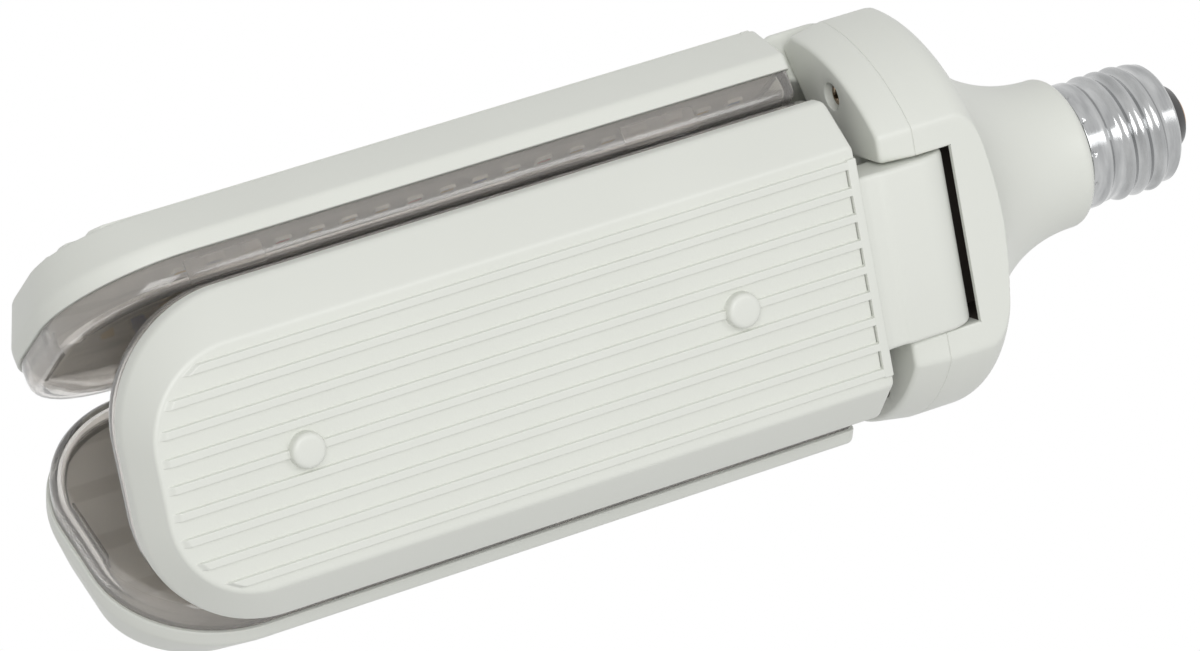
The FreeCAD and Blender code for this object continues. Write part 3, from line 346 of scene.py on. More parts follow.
# Dipped resin: red-brown, glossy and a little lumpy. Moulded epoxy: black and matt.
film_resin = moulded("red-brown dipped resin", "#8f3418", "#a84322",
                     grain_mm=1.2, bump_mm=0.05, patch_mm=4.0, Roughness=0.3, IOR=1.55)
chip_resin = moulded("black moulded epoxy", "#141414", "#1f1f1f",
                     grain_mm=0.3, bump_mm=0.03, patch_mm=3.0, Roughness=0.6, IOR=1.55)
print("moulded finishes: shell, gels, rubber and driver parts")

# %% [markdown]
# The covers are injection-moulded clear polycarbonate. It bends light strongly (IOR 1.58), has a
# polished face and a faint flow pattern from the mould, which shows as slow waves in what is seen
# through it. The waves are a soft noise of about 14 mm in the bump.

# %% clear polycarbonate
FLOW_MM = 14.0


def clear_plastic(name, tint, clear, rough_low, rough_high):
    """A see-through finish: tint is its colour, clear the share of light let through, the rest is haze."""
    made, tree, shader, place = new_finish(name)
    flow = add(tree, "ShaderNodeTexNoise", {"Vector": place, "Scale": 1000.0 / FLOW_MM, "Detail": 1.5})
    haze = add(tree, "ShaderNodeMapRange",
               {"Value": flow.outputs["Fac"], "To Min": rough_low, "To Max": rough_high})
    bump = add(tree, "ShaderNodeBump", {"Height": flow.outputs["Fac"], "Strength": 0.25, "Distance": 0.0006})
    feed(shader, {"Base Color": linear(tint), "Transmission Weight": clear, "IOR": 1.58,
                  "Roughness": haze.outputs[0], "Normal": bump.outputs["Normal"]})
    return made


clear_face = clear_plastic("clear polycarbonate, polished face", "#f7f4f0",
                           clear=0.92, rough_low=0.02, rough_high=0.07)
clear_edge = clear_plastic("clear polycarbonate, satin edge", "#dedad5",
                           clear=0.8, rough_low=0.05, rough_high=0.16)
print("clear cover finishes: face and edge")

# %% [markdown]
# The cap is thin rolled aluminium, bright but not polished: the rolling leaves fine lines round the
# axis. Stretching a noise along the circumference gives such lines, drawn coarser than they are so
# that they show. On the cap they also run from dark to light grey, far wider than the metal's own
# variation: that range is painted reflection, standing in for the room mirrored in the cap. The
# contact is brass and the screws are plated steel, with the same uneven gloss.

# %% metals
def rolled(name, shade, light, rough_low, rough_high, streak_mm, along_mm):
    """A metal whose colour and gloss vary in streaks: streak_mm along Z and along_mm the other ways."""
    made, tree, shader, place = new_finish(name)
    stretch = add(tree, "ShaderNodeMapping",
                  {"Vector": place, "Scale": (1000.0 / along_mm, 1000.0 / along_mm, 1000.0 / streak_mm)})
    streaks = add(tree, "ShaderNodeTexNoise", {"Vector": stretch.outputs[0], "Scale": 1.0, "Detail": 4.0})
    tone = add(tree, "ShaderNodeMix", {0: streaks.outputs["Fac"], 6: linear(shade), 7: linear(light)},
               data_type="RGBA")
    gloss = add(tree, "ShaderNodeMapRange",
                {"Value": streaks.outputs["Fac"], "To Min": rough_low, "To Max": rough_high})
    bump = add(tree, "ShaderNodeBump",
               {"Height": streaks.outputs["Fac"], "Strength": 0.2, "Distance": 0.00002})
    feed(shader, {"Metallic": 1.0, "Base Color": tone.outputs[2], "Roughness": gloss.outputs[0],
                  "Normal": bump.outputs["Normal"]})
    return made


# The cap's streaks are partly the rolling's lines and partly painted reflection: dark and light grey stand in for
# the room mirrored in it.
cap_metal_with_painted_reflections = rolled("rolled aluminium", "#6c6e70", "#d9dada",
                   rough_low=0.1, rough_high=0.24, streak_mm=2.4, along_mm=11.0)
contact_brass = rolled("plain brass", "#a8764a", "#c79a66",
                       rough_low=0.25, rough_high=0.4, streak_mm=1.0, along_mm=2.0)
screw_steel = rolled("plated steel", "#66584b", "#94836f",
                     rough_low=0.15, rough_high=0.3, streak_mm=0.6, along_mm=0.8)
print("metals: aluminium, brass, plated steel")

# %% [markdown]
# The LED board is an aluminium plate with white lacquer. Copper tracks under the lacquer show as
# slightly darker bands, 14 mm apart like the LED rows. A wave along the board's width draws them.

# %% LED board lacquer
BLADE_TURNS = {1: 0.0, 2: -120.0, 3: 120.0}
LED_ROW_PITCH = 14.0
WAVES_PER_SCALE = 20.0 / 6.2832


def board_lacquer(name, turn_deg):
    """White lacquer over copper bands that run along the board; turn_deg is the blade's turn about Z."""
    made, tree, shader, place = new_finish(name)
    turned = add(tree, "ShaderNodeMapping",
                 {"Vector": place, "Rotation": (0.0, 0.0, -math.radians(turn_deg))})
    bands = add(tree, "ShaderNodeTexWave",
                {"Vector": turned.outputs[0], "Scale": 1000.0 / LED_ROW_PITCH / WAVES_PER_SCALE,
                 "Distortion": 0.0}, wave_type="BANDS", bands_direction="X")
    edge = add(tree, "ShaderNodeMapRange",
               {"Value": bands.outputs["Fac"], "From Min": 0.15, "From Max": 0.3},
               interpolation_type="SMOOTHSTEP")
    tone = add(tree, "ShaderNodeMix", {0: edge.outputs[0], 6: linear("#dedbd4"), 7: linear("#efede7")},
               data_type="RGBA")
    bump = add(tree, "ShaderNodeBump", {"Height": edge.outputs[0], "Strength": 0.3, "Distance": 0.00003})
    feed(shader, {"Base Color": tone.outputs[2], "Roughness": 0.38, "Normal": bump.outputs["Normal"]})
    return made


lacquers = {number: board_lacquer(f"white board lacquer {number}", turn)
            for number, turn in BLADE_TURNS.items()}
print("board lacquers:", list(lacquers))

# %% [markdown]
# ## The cap
# A lamp cap's thread is rolled into thin metal, so crest and root are both round: a knuckle thread.
# One function of angle and height gives skirt, thread and rolled-in rim together:
# r = root + depth (1 + cos(2 pi n)) / 2, where n = (z - z0) / pitch - a / 2 pi is whole on the ridge. The
# ridge fades in and out along its own length, counted in turns. Small dents near the rim are where the
# metal is pressed into the plastic.

# %% cap shell
THREAD_ROOT, THREAD_CREST, THREAD_PITCH, FIRST_RIDGE = 12.25, 13.15, 3.629, 7.2
FINE_BELOW, SHELL_TOP = 3.0, 21.6
THREAD_IN, THREAD_OUT, SKIRT_END = (-0.25, 0.3), (3.2, 3.7), (4.6, 6.6)
RIM_ROLL, DENT_Z, DENT_DEPTH, DENT_SPREAD = 0.7, 1.35, 0.5, 0.2
DENT_ANGLES = np.radians(np.arange(12) * 30.0 + 205.0)


def cap_surface(columns=320, rows=200):
    """Radius of the rolled shell over angle a and height z, with the pressed dents near its rim."""
    fine, coarse = np.linspace(0.0, FINE_BELOW, 41)[:-1], np.linspace(FINE_BELOW, SHELL_TOP, rows - 40)
    z = np.concatenate([fine, coarse])[:, None]
    a = np.linspace(0, 2 * np.pi, columns, endpoint=False)[None, :]
    turns = (z - FIRST_RIDGE) / THREAD_PITCH - a / (2 * np.pi)
    travelled = np.round(turns) + a / (2 * np.pi)
    on = ramp(travelled, *THREAD_IN) * (1 - ramp(travelled, *THREAD_OUT))
    r = THREAD_ROOT + 0.05 + (THREAD_CREST - THREAD_ROOT) * (0.5 + 0.5 * np.cos(2 * np.pi * turns)) * on
    skirt = 1 - ramp(z, *SKIRT_END)
    r = r + (THREAD_CREST - 0.1 - r) * skirt
    r = r - RIM_ROLL * (1 - ramp(z, 0.0, 0.9))
    for dent in DENT_ANGLES:
        away = (np.angle(np.exp(1j * (a - dent))) * THREAD_CREST) ** 2 + (z - DENT_Z) ** 2
        r = r - DENT_DEPTH * np.exp(-away / DENT_SPREAD)
    return np.stack([r * np.cos(a), r * np.sin(a), z + 0 * a], axis=-1)


shell = cap_surface()
last = shell[-1]
unit = last / np.linalg.norm(last[:, :2], axis=1, keepdims=True)
unit[:, 2] = 0.0
end_profile = soften([(THREAD_ROOT, SHELL_TOP), (11.9, 22.2), (9.4, 23.3), (8.9, 22.9)], [0, 0.6, 0.25, 0], 6)
inside_profile = [end_profile[-1], (11.5, 22.0), (11.85, 21.0), (11.85, 6.0), (12.65, 5.0), (12.65, 0.0)]
dome, inside = (np.stack([unit * r + [0, 0, z] for r, z in profile]) for profile in (end_profile, inside_profile))
dome[0] = last
foot = np.stack([inside[-1], shell[0]])
piece("rolled_cap", [patch(surface, True) for surface in (shell, dome, inside, foot)],
      [cap_metal_with_painted_reflections], "hub", ["cap_shell"], edge=50)

# %% [markdown]
# The insulator is black glass that was melted into the cap's end, so its cone runs in a soft curve to
# the contact. The contact is a thin brass disc with a rounded rim. Both are turned profiles.

# %% insulator and contact
LEAD_HOLE, GLASS_LOW, GLASS_TOP = 0.95, 22.3, 27.2
cone = soften([(LEAD_HOLE, GLASS_LOW), (8.8, GLASS_LOW), (8.85, 23.1), (6.1, 27.1), (4.7, GLASS_TOP),
               (LEAD_HOLE, GLASS_TOP), (LEAD_HOLE, GLASS_LOW)], [0, 0.1, 0.6, 0.5, 0.2, 0, 0])
piece("glass_insulator", [patch(lathe(cone), True)], [black_glass], "hub", ["cap_insulator"])
disc = soften([(0.0, GLASS_TOP), (4.95, GLASS_TOP), (5.0, 27.75), (4.2, 27.95), (0.0, 28.0)],
              [0, 0.0, 0.25, 0.3, 0])
piece("end_contact", [patch(lathe(disc, 64), True)], [contact_brass], "hub", ["cap_contact"])

# %% [markdown]
# ## The hub
# The hub is a turned shape with three flats. In polar terms its outline at one height is the smaller of
# two radii: the turned profile R(z), and the flat F / cos(a). A smooth minimum of the two rounds the
# edge between them, as the mould does. Below the top of the hinge slots the outline also runs into
# each slot and out again, so there a closed path is carried downwards instead.

# %% hub measures and outline
HUB_R, FLAT, FLAT_EDGE = 41.4, 34.0, 0.45
SLOT_HALF, SLOT_IN, SLOT_FRONT, SLOT_TOP, SLOT_ROOF = 18.0, 20.4, 33.0, -41.2, -34.6
HINGE_TURNS, SCREW_TURNS = [0.0, 120.0, 240.0], [60.0, 180.0, 300.0]
THIRD = 2 * np.pi / 3


def softer_min(a, b, k):
    """min(a, b) with the corner rounded over k: min - (max(k - |a - b|, 0))^2 / 4k."""
    return np.minimum(a, b) - np.maximum(k - np.abs(a - b), 0.0) ** 2 / (4 * k)


def hub_radius(angle, turned, flat=FLAT):
    """The smooth minimum of a turned radius and the nearest flat; angle 0 is the middle of blade 1's flat."""
    nearest = np.abs((angle + THIRD / 2) % THIRD - THIRD / 2)
    return softer_min(turned + 0 * nearest, flat / np.cos(nearest) + 0 * turned, FLAT_EDGE)


def around(angle, radius, z):
    """Points at an angle from blade 1's direction, which is -Y: (r sin a, -r cos a, z)."""
    return np.stack(np.broadcast_arrays(radius * np.sin(angle), -radius * np.cos(angle), z), axis=-1)


def directions(turn):
    """The unit vectors (x, y) outwards and sideways at an angle from blade 1's direction."""
    return np.array([math.sin(turn), -math.cos(turn)]), np.array([math.cos(turn), math.sin(turn)])


def hub_path(turned, flat, corner=0.8):
    """The closed outline with the three slots: each lobe's arc, then in along a slot's wall, across and out."""
    edge = math.atan2(SLOT_HALF, flat)
    pad = (0.6 * corner + 0.15) * math.cos(edge) ** 2 / flat
    lobe = np.linspace(edge + pad, THIRD - edge - pad, 121)
    half_slot = [(flat, SLOT_HALF + 3), (flat, SLOT_HALF), (SLOT_IN, SLOT_HALF)]
    ends = [(d, -x) for d, x in half_slot] + half_slot[::-1]
    reach = [0, corner * 0.6, 0.6, 0.6, corner * 0.6, 0]
    path = []
    for turn in np.radians(HINGE_TURNS):
        out, side = directions(turn + THIRD)
        walls = [out * d + side * x for d, x in ends]
        path += [around(turn + lobe, hub_radius(lobe, turned, flat), 0.0)[:, :2], soften(walls, reach)[1:-1]]
    return np.concatenate(path)


def inset_path(path, by):
    """A closed path moved inwards: each corner along (m + n) / (1 + m . n), the normals of its two sides."""
    side = np.roll(path, -1, axis=0) - path
    side /= np.linalg.norm(side, axis=1, keepdims=True)
    n = np.stack([-side[:, 1], side[:, 0]], axis=1)
    m = np.roll(n, 1, axis=0)
    return path + by * (m + n) / (1 + (m * n).sum(axis=1, keepdims=True))


def level(path, z):
    """A flat path put at a height."""
    return np.column_stack([path, np.full(len(path), z)])


# %% [markdown]
# The turned profile runs from the groove under the cap's rim over a rounded edge, down a wide hollow
# arc and over the shoulder. The hollow arc starts upright below the edge and touches the shoulder's arc.
# The slots' roofs have a finish of their own with painted deep shade: a dark brown stands in for the shade inside
# the hub.

# %% hub housing
NECK_R, NECK_EDGE, FLARE_TOP, SHOULDER, SHOULDER_Z = 15.5, 2.0, -2.3, 6.5, -40.0
shoulder_x, fall = HUB_R - SHOULDER, FLARE_TOP - SHOULDER_Z
flare = ((shoulder_x - NECK_R) ** 2 + fall ** 2 - SHOULDER ** 2) / (2 * (HUB_R - NECK_R))
flare_x, split = NECK_R + flare, flare / (flare + SHOULDER)
meet_x, meet_z = flare_x - split * (flare_x - shoulder_x), FLARE_TOP - split * fall
top_edge = np.radians(np.linspace(90, 0, 8))
sweep = np.linspace(np.pi, np.pi + math.asin((FLARE_TOP - meet_z) / flare), 60)
bend = np.linspace(math.atan2(meet_z - SHOULDER_Z, meet_x - shoulder_x), 0.0, 28)
turned_profile = np.concatenate([
    [(12.4, -0.5), (13.3, -0.5), (13.4, -0.02)],
    arc(NECK_R - NECK_EDGE, -NECK_EDGE, NECK_EDGE, top_edge),
    arc(flare_x, FLARE_TOP, flare, sweep),
    arc(shoulder_x, SHOULDER_Z, SHOULDER, bend)[1:],
    [(HUB_R, SLOT_TOP)],
])
slot_edges = np.radians(np.add.outer(HINGE_TURNS, [27.9, 92.1])).ravel()
angles = np.unique(np.concatenate([np.linspace(0, 2 * np.pi, 720, endpoint=False), slot_edges]))[None, :]
upper = around(angles, hub_radius(angles, turned_profile[:, :1]), turned_profile[:, 1:])

lower_path = hub_path(HUB_R, FLAT)
seam = [(0.0, SLOT_TOP), (0.0, -45.0), (0.0, -48.85), (0.05, -48.95), (0.14, -48.99)]
lower = np.stack([level(inset_path(lower_path, by), z) for by, z in seam])
slot_profile = [(FLAT, SLOT_TOP), (SLOT_FRONT, SLOT_TOP), (SLOT_FRONT, SLOT_ROOF), (SLOT_IN, SLOT_ROOF),
                (SLOT_IN, SLOT_TOP)]
housing = [patch(upper, True, True), lid(upper[0]), patch(lower, True, True), lid(lower[-1], True)]
# Each slot's roof and its ends get finish 1, which is painted deep shade.
for turn in np.radians(HINGE_TURNS):
    out, side = directions(turn)
    roof = np.array([[(*(out * d + side * x), z) for x in (-SLOT_HALF, SLOT_HALF)] for d, z in slot_profile])
    housing += [patch(roof[:2], flip=True), patch(roof[1:], flip=True, finish=1),
                lid(roof[1:, 0], True, 1), lid(roof[1:, 1], False, 1)]
piece("neck_and_hub", housing, [white_shell, painted_shade_shell], "hub", ["hub_housing"], edge=40)

# %% [markdown]
# The cover below the seam is the same outline, tapered a little so that it leaves its mould, with a soft
# lower edge. Its underside has a recess for each screw. A flat face with holes has no simple grid, so
# that one face is filled by a triangulation between its outlines.

# %% hub cover
SCREW_CIRCLE, SCREW_SEAT, MOUTH_R, WELL_R = 34.2, -52.3, 2.95, 2.75
COVER_TOP, COVER_BOTTOM, COVER_TAPER, COVER_EDGE = -49.1, -56.3, 1.2, 0.9
WELL_COLUMNS = 40


def filled(outline, holes, z):
    """Triangles of a flat face that looks down, between an outline and its holes, all closed loops of (x, y)."""
    loops = [outline, *holes]
    starts = np.cumsum([0] + [len(loop) for loop in loops])
    rings = [list(range(a, b)) for a, b in zip(starts, starts[1:])]
    corners = [tuple(point) for loop in loops for point in loop]
    points, _, faces, *_ = geometry.delaunay_2d_cdt(corners, [], rings, 2, 1e-6)
    points = np.array([tuple(point) for point in points])
    return np.column_stack([points, np.full(len(points), z)]), np.array(faces)[:, ::-1], 0


cover_rows = [level(inset_path(lower_path, by), z) for by, z in [(0.14, -49.01), (0.05, -49.05), (0.0, -49.15)]]
for drop in np.linspace(0.5, 6.3, 5):
    taper = COVER_TAPER * drop / (COVER_TOP - COVER_BOTTOM)
    cover_rows.append(level(hub_path(HUB_R - taper, FLAT - taper, 0.8 + 1.5 * taper), COVER_TOP - drop))
lowest = hub_path(HUB_R - 1.15, FLAT - 1.15, 2.6)
for t in np.radians([22.5, 45, 67.5, 90]):
    cover_rows.append(level(inset_path(lowest, COVER_EDGE * (1 - math.cos(t))),
                            COVER_BOTTOM + COVER_EDGE * (1 - math.sin(t))))
cover_sides = np.stack(cover_rows)
cover = [patch(cover_sides, True, True), lid(cover_sides[0])]
well = soften([(MOUTH_R, COVER_BOTTOM), (WELL_R, COVER_BOTTOM + 0.05), (WELL_R, SCREW_SEAT), (0.0, SCREW_SEAT)],
              [0, 0.19, 0.15, 0], 4)
screw_middles = [SCREW_CIRCLE * directions(turn)[0] for turn in np.radians(SCREW_TURNS)]
cover += [patch(lathe(well, WELL_COLUMNS) + [*middle, 0], True, True) for middle in screw_middles]
ring = np.linspace(0, 2 * np.pi, WELL_COLUMNS, endpoint=False)
mouths = [arc(*middle, MOUTH_R, ring) for middle in screw_middles]
cover.append(filled(cover_sides[-1][:, :2], mouths, COVER_BOTTOM))
piece("hub_underside", cover, [white_shell], "hub", ["hub_cover"], edge=40)

# %% [markdown]
# ## Screws
# A pan-head screw with a cross recess: the head's height over the plane is a dome minus a cross. The
# cross is the larger of two soft bars, each the product of two ramps.

# %% screws
def screw_head(radius, height, turn=0.35):
    """Head of a screw about +Z with its underside at z = 0: dome(r) - depth * max(bar(x, y), bar(y, x))."""
    def bar(p, q):
        return (1 - ramp(np.abs(p), wide, wide * 1.6)) * (1 - ramp(np.abs(q), long, long * 1.15))

    wide, long = 0.16 * radius, 0.62 * radius
    r = np.concatenate([np.linspace(0.0, 0.92, 24), [0.97, 1.0]])[:, None] * radius
    a = np.linspace(0, 2 * np.pi, 72, endpoint=False)[None, :]
    x, y = r * np.cos(a - turn), r * np.sin(a - turn)
    dome = height * (1 - 0.06 * (r / radius) ** 2 - 0.3 * ramp(r / radius, 0.84, 1.02))
    z = dome - 0.55 * height * np.maximum(bar(x, y), bar(y, x))
    top = np.stack([r * np.cos(a), r * np.sin(a), z], axis=-1)
    side = np.stack([top[-1], top[-1] * [1, 1, 0]])
    return [top, side]


def shank(radius, length):
    """A plain pointed shank below the head, turned about Z."""
    return lathe(soften([(radius, 0.0), (radius, -length + radius), (0.0, -length)], [0, 0.3, 0], 4), 24)


hub_screws = [patch(part * [1, -1, -1] + [*middle, SCREW_SEAT], True, True)
              for middle in screw_middles for part in [*screw_head(2.6, 2.7), shank(1.2, 10.8)]]
piece("cover_screws", hub_screws, [screw_steel], "hub", ["hub_screws"], edge=50)

# %% [markdown]
# ## The blades
# A blade is a shallow tray. Its outline is a tongue: square at the hinge, rounded at the tip. The tray's
# side is a stack of such outlines, from the rim up the wall and over the slope to the ribbed panel, and
# `soften` rounds the edge at every level. All three blades are made once and turned about the axis.

# %% tongue outline
BLADE_HALF, BLADE_END, BLADE_TIP, BLADE_CORNER = 32.3, 63.2, 217.5, 25.0
PANEL_HALF, PANEL_TIP, PANEL_CORNER, PANEL_OUT = 24.3, 214.5, 18.0, 36.0
HEEL, BORDER = 1.2, 0.8


def tongue(half, end, tip, corner, heel=HEEL):
    """A closed tongue of (x, z): heel radius at the hinge end, corner radius at the tip."""
    small, large = np.linspace(0, np.pi / 2, 6), np.linspace(0, np.pi / 2, 25)
    corners = [arc(half - heel, -end - heel, heel, small),
               arc(-half + heel, -end - heel, heel, small + np.pi / 2),
               arc(-half + corner, -tip + corner, corner, large + np.pi),
               arc(half - corner, -tip + corner, corner, large + 1.5 * np.pi)]
    along = np.linspace(0, 1, 12)[1:-1, None]
    loop = []
    for here, after in zip(corners, corners[1:] + corners[:1]):
        loop += [here, here[-1] + (after[0] - here[-1]) * along]
    return np.concatenate(loop)


def stand(loop, distance):
    """A loop of (x, z) at a distance from the lamp's axis, for the blade that faces -Y."""
    return np.column_stack([loop[:, 0], np.full(len(loop), -distance), loop[:, 1]])


def blade_loop(inset, distance):
    """The blade's outer tongue, moved in all round, at a distance."""
    return stand(tongue(BLADE_HALF - inset, BLADE_END + inset, BLADE_TIP - inset, BLADE_CORNER - inset,
                        max(HEEL - 0.3 * inset, 0.3)), distance)


def panel_loop(inset, distance):
    """The ribbed panel's tongue, moved in all round, at a distance."""
    return stand(tongue(PANEL_HALF - inset, BLADE_END + inset, PANEL_TIP - inset, PANEL_CORNER - inset), distance)


RIM_OUT, WALL_OUT, INNER_WALL_OUT, INNER_PANEL_OUT, WALL = 24.4, 27.7, 27.2, 34.4, 1.6
tray = soften([panel_loop(4.0, INNER_PANEL_OUT), panel_loop(WALL, INNER_PANEL_OUT),
               blade_loop(WALL, INNER_WALL_OUT), blade_loop(WALL, RIM_OUT),
               blade_loop(0.0, RIM_OUT), blade_loop(0.0, WALL_OUT),
               panel_loop(0.0, PANEL_OUT), panel_loop(BORDER, PANEL_OUT), panel_loop(1.1, 35.5)],
              [0, 0.5, 0.5, 0.25, 0.35, 0.9, 0.75, 0, 0], 6)
print("tray side:", tray.shape[0], "levels of", tray.shape[1], "points")

# %% [markdown]
# The panel carries nine ribs. Its height is a field over (x, z): one soft bump per rib, faded out over the
# last 1.7 mm before the rounded tip, and a narrow groove across between the ribs at the hinge end. The
# rows follow the tip's curve, and the columns crowd round each rib, so a few thousand points draw crisp
# ribs. The sheet starts inside a narrow border, where the tray's side ends.

# %% ribbed panel
RIBS, RIB_PITCH, RIB_HEIGHT, RIB_TOP, RIB_FOOT, RIB_FADE = 9, 5.25, 0.85, 0.72, 0.9, 1.7
GROOVE_DEPTH = 1.2
SHEET_HALF, SHEET_END = PANEL_HALF - BORDER, BLADE_END + BORDER


def tip_of(x, half, tip, corner):
    """How far down a tongue reaches at each x: tip - corner + sqrt(corner^2 - past^2) beyond its straight part."""
    past = np.clip(np.abs(x) - (half - corner), 0, corner)
    return tip - corner + np.sqrt(np.maximum(corner ** 2 - past ** 2, 0))


rib_at = (np.arange(RIBS) - RIBS // 2) * RIB_PITCH
beside_rib = np.array([0.5, 0.69, 0.74, 0.79, 0.84, 0.89, 0.93, 1.05])
from_side = np.array([1.2, 0.9, 0.65, 0.45, 0.3, 0.18, 0.09, 0.03, 0.0])
x = np.unique(np.concatenate([
    rib_at, np.add.outer(rib_at, [*-beside_rib, *beside_rib]).ravel(),
    np.add.outer(rib_at[:-1], [2.0, 2.625, 3.25]).ravel(),
    np.outer([-1, 1], SHEET_HALF - from_side).ravel()]))[None, :]
from_end = np.array([0.0, 0.95, 1.0, 1.05, 1.1, 1.15, 1.2, 1.25, 1.3, 1.4, 1.43, 1.47, 1.5, 2.0, 2.8, 4.4])
from_tip = np.concatenate([np.arange(10.0, 4.0, -0.5), np.arange(4.0, 0.0, -0.16), [0.0]])
heel_cut = HEEL - np.sqrt(HEEL ** 2 - np.clip(np.abs(x) - (SHEET_HALF - HEEL), 0, HEEL) ** 2)
sheet_tip = tip_of(x, SHEET_HALF, PANEL_TIP - BORDER, PANEL_CORNER - BORDER)
near, far = SHEET_END + heel_cut + from_end[:, None], sheet_tip - from_tip[:, None]
middle_share = np.linspace(0, 1, 14)[1:-1, None]
drop = np.concatenate([near, near[-1:] + (far[:1] - near[-1:]) * middle_share, far])
past_end = drop - SHEET_END
from_rib = np.abs(x[..., None] - rib_at).min(-1)
bump = (1 - ramp(from_rib, RIB_TOP, RIB_FOOT)) * ramp(sheet_tip - drop, 0.0, RIB_FADE) * ramp(past_end, 1.0, 1.15)
groove = GROOVE_DEPTH * ramp(past_end, 1.2, 1.3) * (1 - ramp(past_end, 1.4, 1.5))
groove = groove * ramp(from_rib, 0.92, 1.05) * (1 - ramp(np.abs(x), 21.0, 21.9))
ribbed = np.stack([x + 0 * drop, -(PANEL_OUT + RIB_HEIGHT * bump - groove), -drop], axis=-1)
print("ribbed panel:", ribbed.shape[0], "rows of", ribbed.shape[1])

# %% [markdown]
# A lip closes the ribs at the hinge end, and two round posts stand on the panel. The lip is a soft
# bar carried across the blade; a post is a turned profile with a slightly domed top.

# %% lip and posts
LIP_HALF, LIP_FOOT, LIP_TOP, LIP_NEAR, LIP_FAR = 22.1, 34.6, 36.88, -63.3, -65.3
POST_DROPS = (92.8, 185.5)


def end_stations(half, soft):
    """Places across a bar, and how far its section is pulled in there: a quarter circle at either end."""
    first = [(-half + soft * (1 - math.cos(q)), soft * (1 - math.sin(q)))
             for q in np.radians([0, 22.5, 45, 67.5, 90])]
    return first + [(-at, by) for at, by in first[::-1]]


def bar_across(section, half, soft):
    """A closed section of (distance, z) carried along x between -half and half, pulled in to round its ends."""
    middle = section.mean(axis=0)
    reach = np.abs(section - middle).max(axis=0)
    rings = []
    for at, by in end_stations(half, soft):
        pulled = middle + (section - middle) * (1 - by / reach)
        rings.append(np.column_stack([np.full(len(section), at), -pulled[:, 0], pulled[:, 1]]))
    rings = np.stack(rings)
    return [patch(rings, True), lid(rings[0], True), lid(rings[-1])]


lip_corners = [(LIP_FOOT, LIP_FAR), (LIP_FOOT, LIP_NEAR), (LIP_TOP, LIP_NEAR), (LIP_TOP, LIP_FAR)]
lip_section = soften(lip_corners + lip_corners[:2], [0, 0.05, 0.35, 0.15, 0.05, 0], 5)[1:-2]
lip = bar_across(lip_section, LIP_HALF, 0.3)

post_profile = [(3.75, -0.05), (3.5, 0.1), (3.5, 2.5), (2.0, 2.62), (0.0, 2.7)]
post = lathe(soften(post_profile, [0, 0.15, 1.1, 0.25, 0], 7), 48)
posts = [np.stack([post[..., 0], -PANEL_OUT - post[..., 2], post[..., 1] - z], axis=-1) for z in POST_DROPS]
print("lip and", len(posts), "posts")

# %% [markdown]
# The hinge arm leaves the blade's end and rolls into a barrel round the hinge axis. Its side view is a
# closed outline: the outer face with a low step, most of a circle, and the inner face. Carried across
# the blade, with rounded ends, it fills the hub's slot.

# %% hinge arm
HINGE_OUT, HINGE_Z, BARREL_R = 28.8, -49.0, 7.2
ARM_HALF, ARM_EDGE, ARM_ROOT, ARM_INNER = 17.5, 0.9, -65.0, 25.6
ARM_MIDDLE = (-31.0, -55.0)
JOURNAL_R, JOURNAL_HALF = 2.95, 22.4
barrel = arc(HINGE_OUT, HINGE_Z, BARREL_R, np.radians(np.linspace(0, 205, 44)))
outer_face = soften([(35.95, ARM_ROOT), (35.95, -63.1), (35.5, -61.6), (35.5, -58.8), (PANEL_OUT, -57.6),
                     (PANEL_OUT, -49.2)], [0, 0.5, 0.6, 0.6, 0.6, 0])
inner_face = soften([barrel[-1], (ARM_INNER, -56.0), (ARM_INNER, ARM_ROOT)], [0, 1.2, 0])[1:]
arm_section = np.concatenate([outer_face, barrel, inner_face])


def arm_across(section, half, soft):
    """The arm's section carried across x, moved in along its own normals over the last `soft` mm at both ends."""
    stations = [(-half, soft + 0.3), *end_stations(half, soft), (half, soft + 0.3)]
    rings = []
    for at, by in stations:
        moved = inset_path(section, by)
        rings.append(np.column_stack([np.full(len(section), at), -moved[:, 0], moved[:, 1]]))
    ends = [np.tile([at, *ARM_MIDDLE], (len(section), 1)) for at in (-half, half)]
    return patch(np.stack([ends[0], *rings, ends[1]]), True, True)


arm = arm_across(arm_section, ARM_HALF, ARM_EDGE)
half_journal = [(0.0, JOURNAL_HALF), (2.6, JOURNAL_HALF), (JOURNAL_R, 22.0)]
journal = lathe(half_journal + [(r, -z) for r, z in half_journal[::-1]], 32)
journal = np.stack([journal[..., 2], journal[..., 1] - HINGE_OUT, journal[..., 0] + HINGE_Z], axis=-1)


def turned_about(points, turn_deg):
    """Points turned about the lamp's axis."""
    c, s = math.cos(math.radians(turn_deg)), math.sin(math.radians(turn_deg))
    return points @ np.array([[c, s, 0], [-s, c, 0], [0, 0, 1]])


def blade_piece(number, word, patches, finishes, node, edge):
    """A piece of one blade: patches made for blade 1, turned to their place and riding on that blade."""
    turned = [(turned_about(points, BLADE_TURNS[number]), faces, finish) for points, faces, finish in patches]
    piece(f"blade_{number}_{word}", turned, finishes, f"blade_{number}", [f"blade_{number}_{node}"], edge)


tray_patches = [patch(tray, True), lid(tray[0], True), patch(ribbed, flip=True), *lip,
                *[patch(surface, True) for surface in posts], arm, patch(journal, True)]
for number in BLADE_TURNS:
    blade_piece(number, "tray", tray_patches, [white_shell], "shell", edge=38)

# %% [markdown]
# ## The clear covers
# A cover is a tray with a wall of even thickness, so that it bends light as a real one does. Its section
# runs over the face, round the edge to the seat, in along the lip and back inside. Short clips inside
# the wall hold it in the blade; their ends show as bright lines.

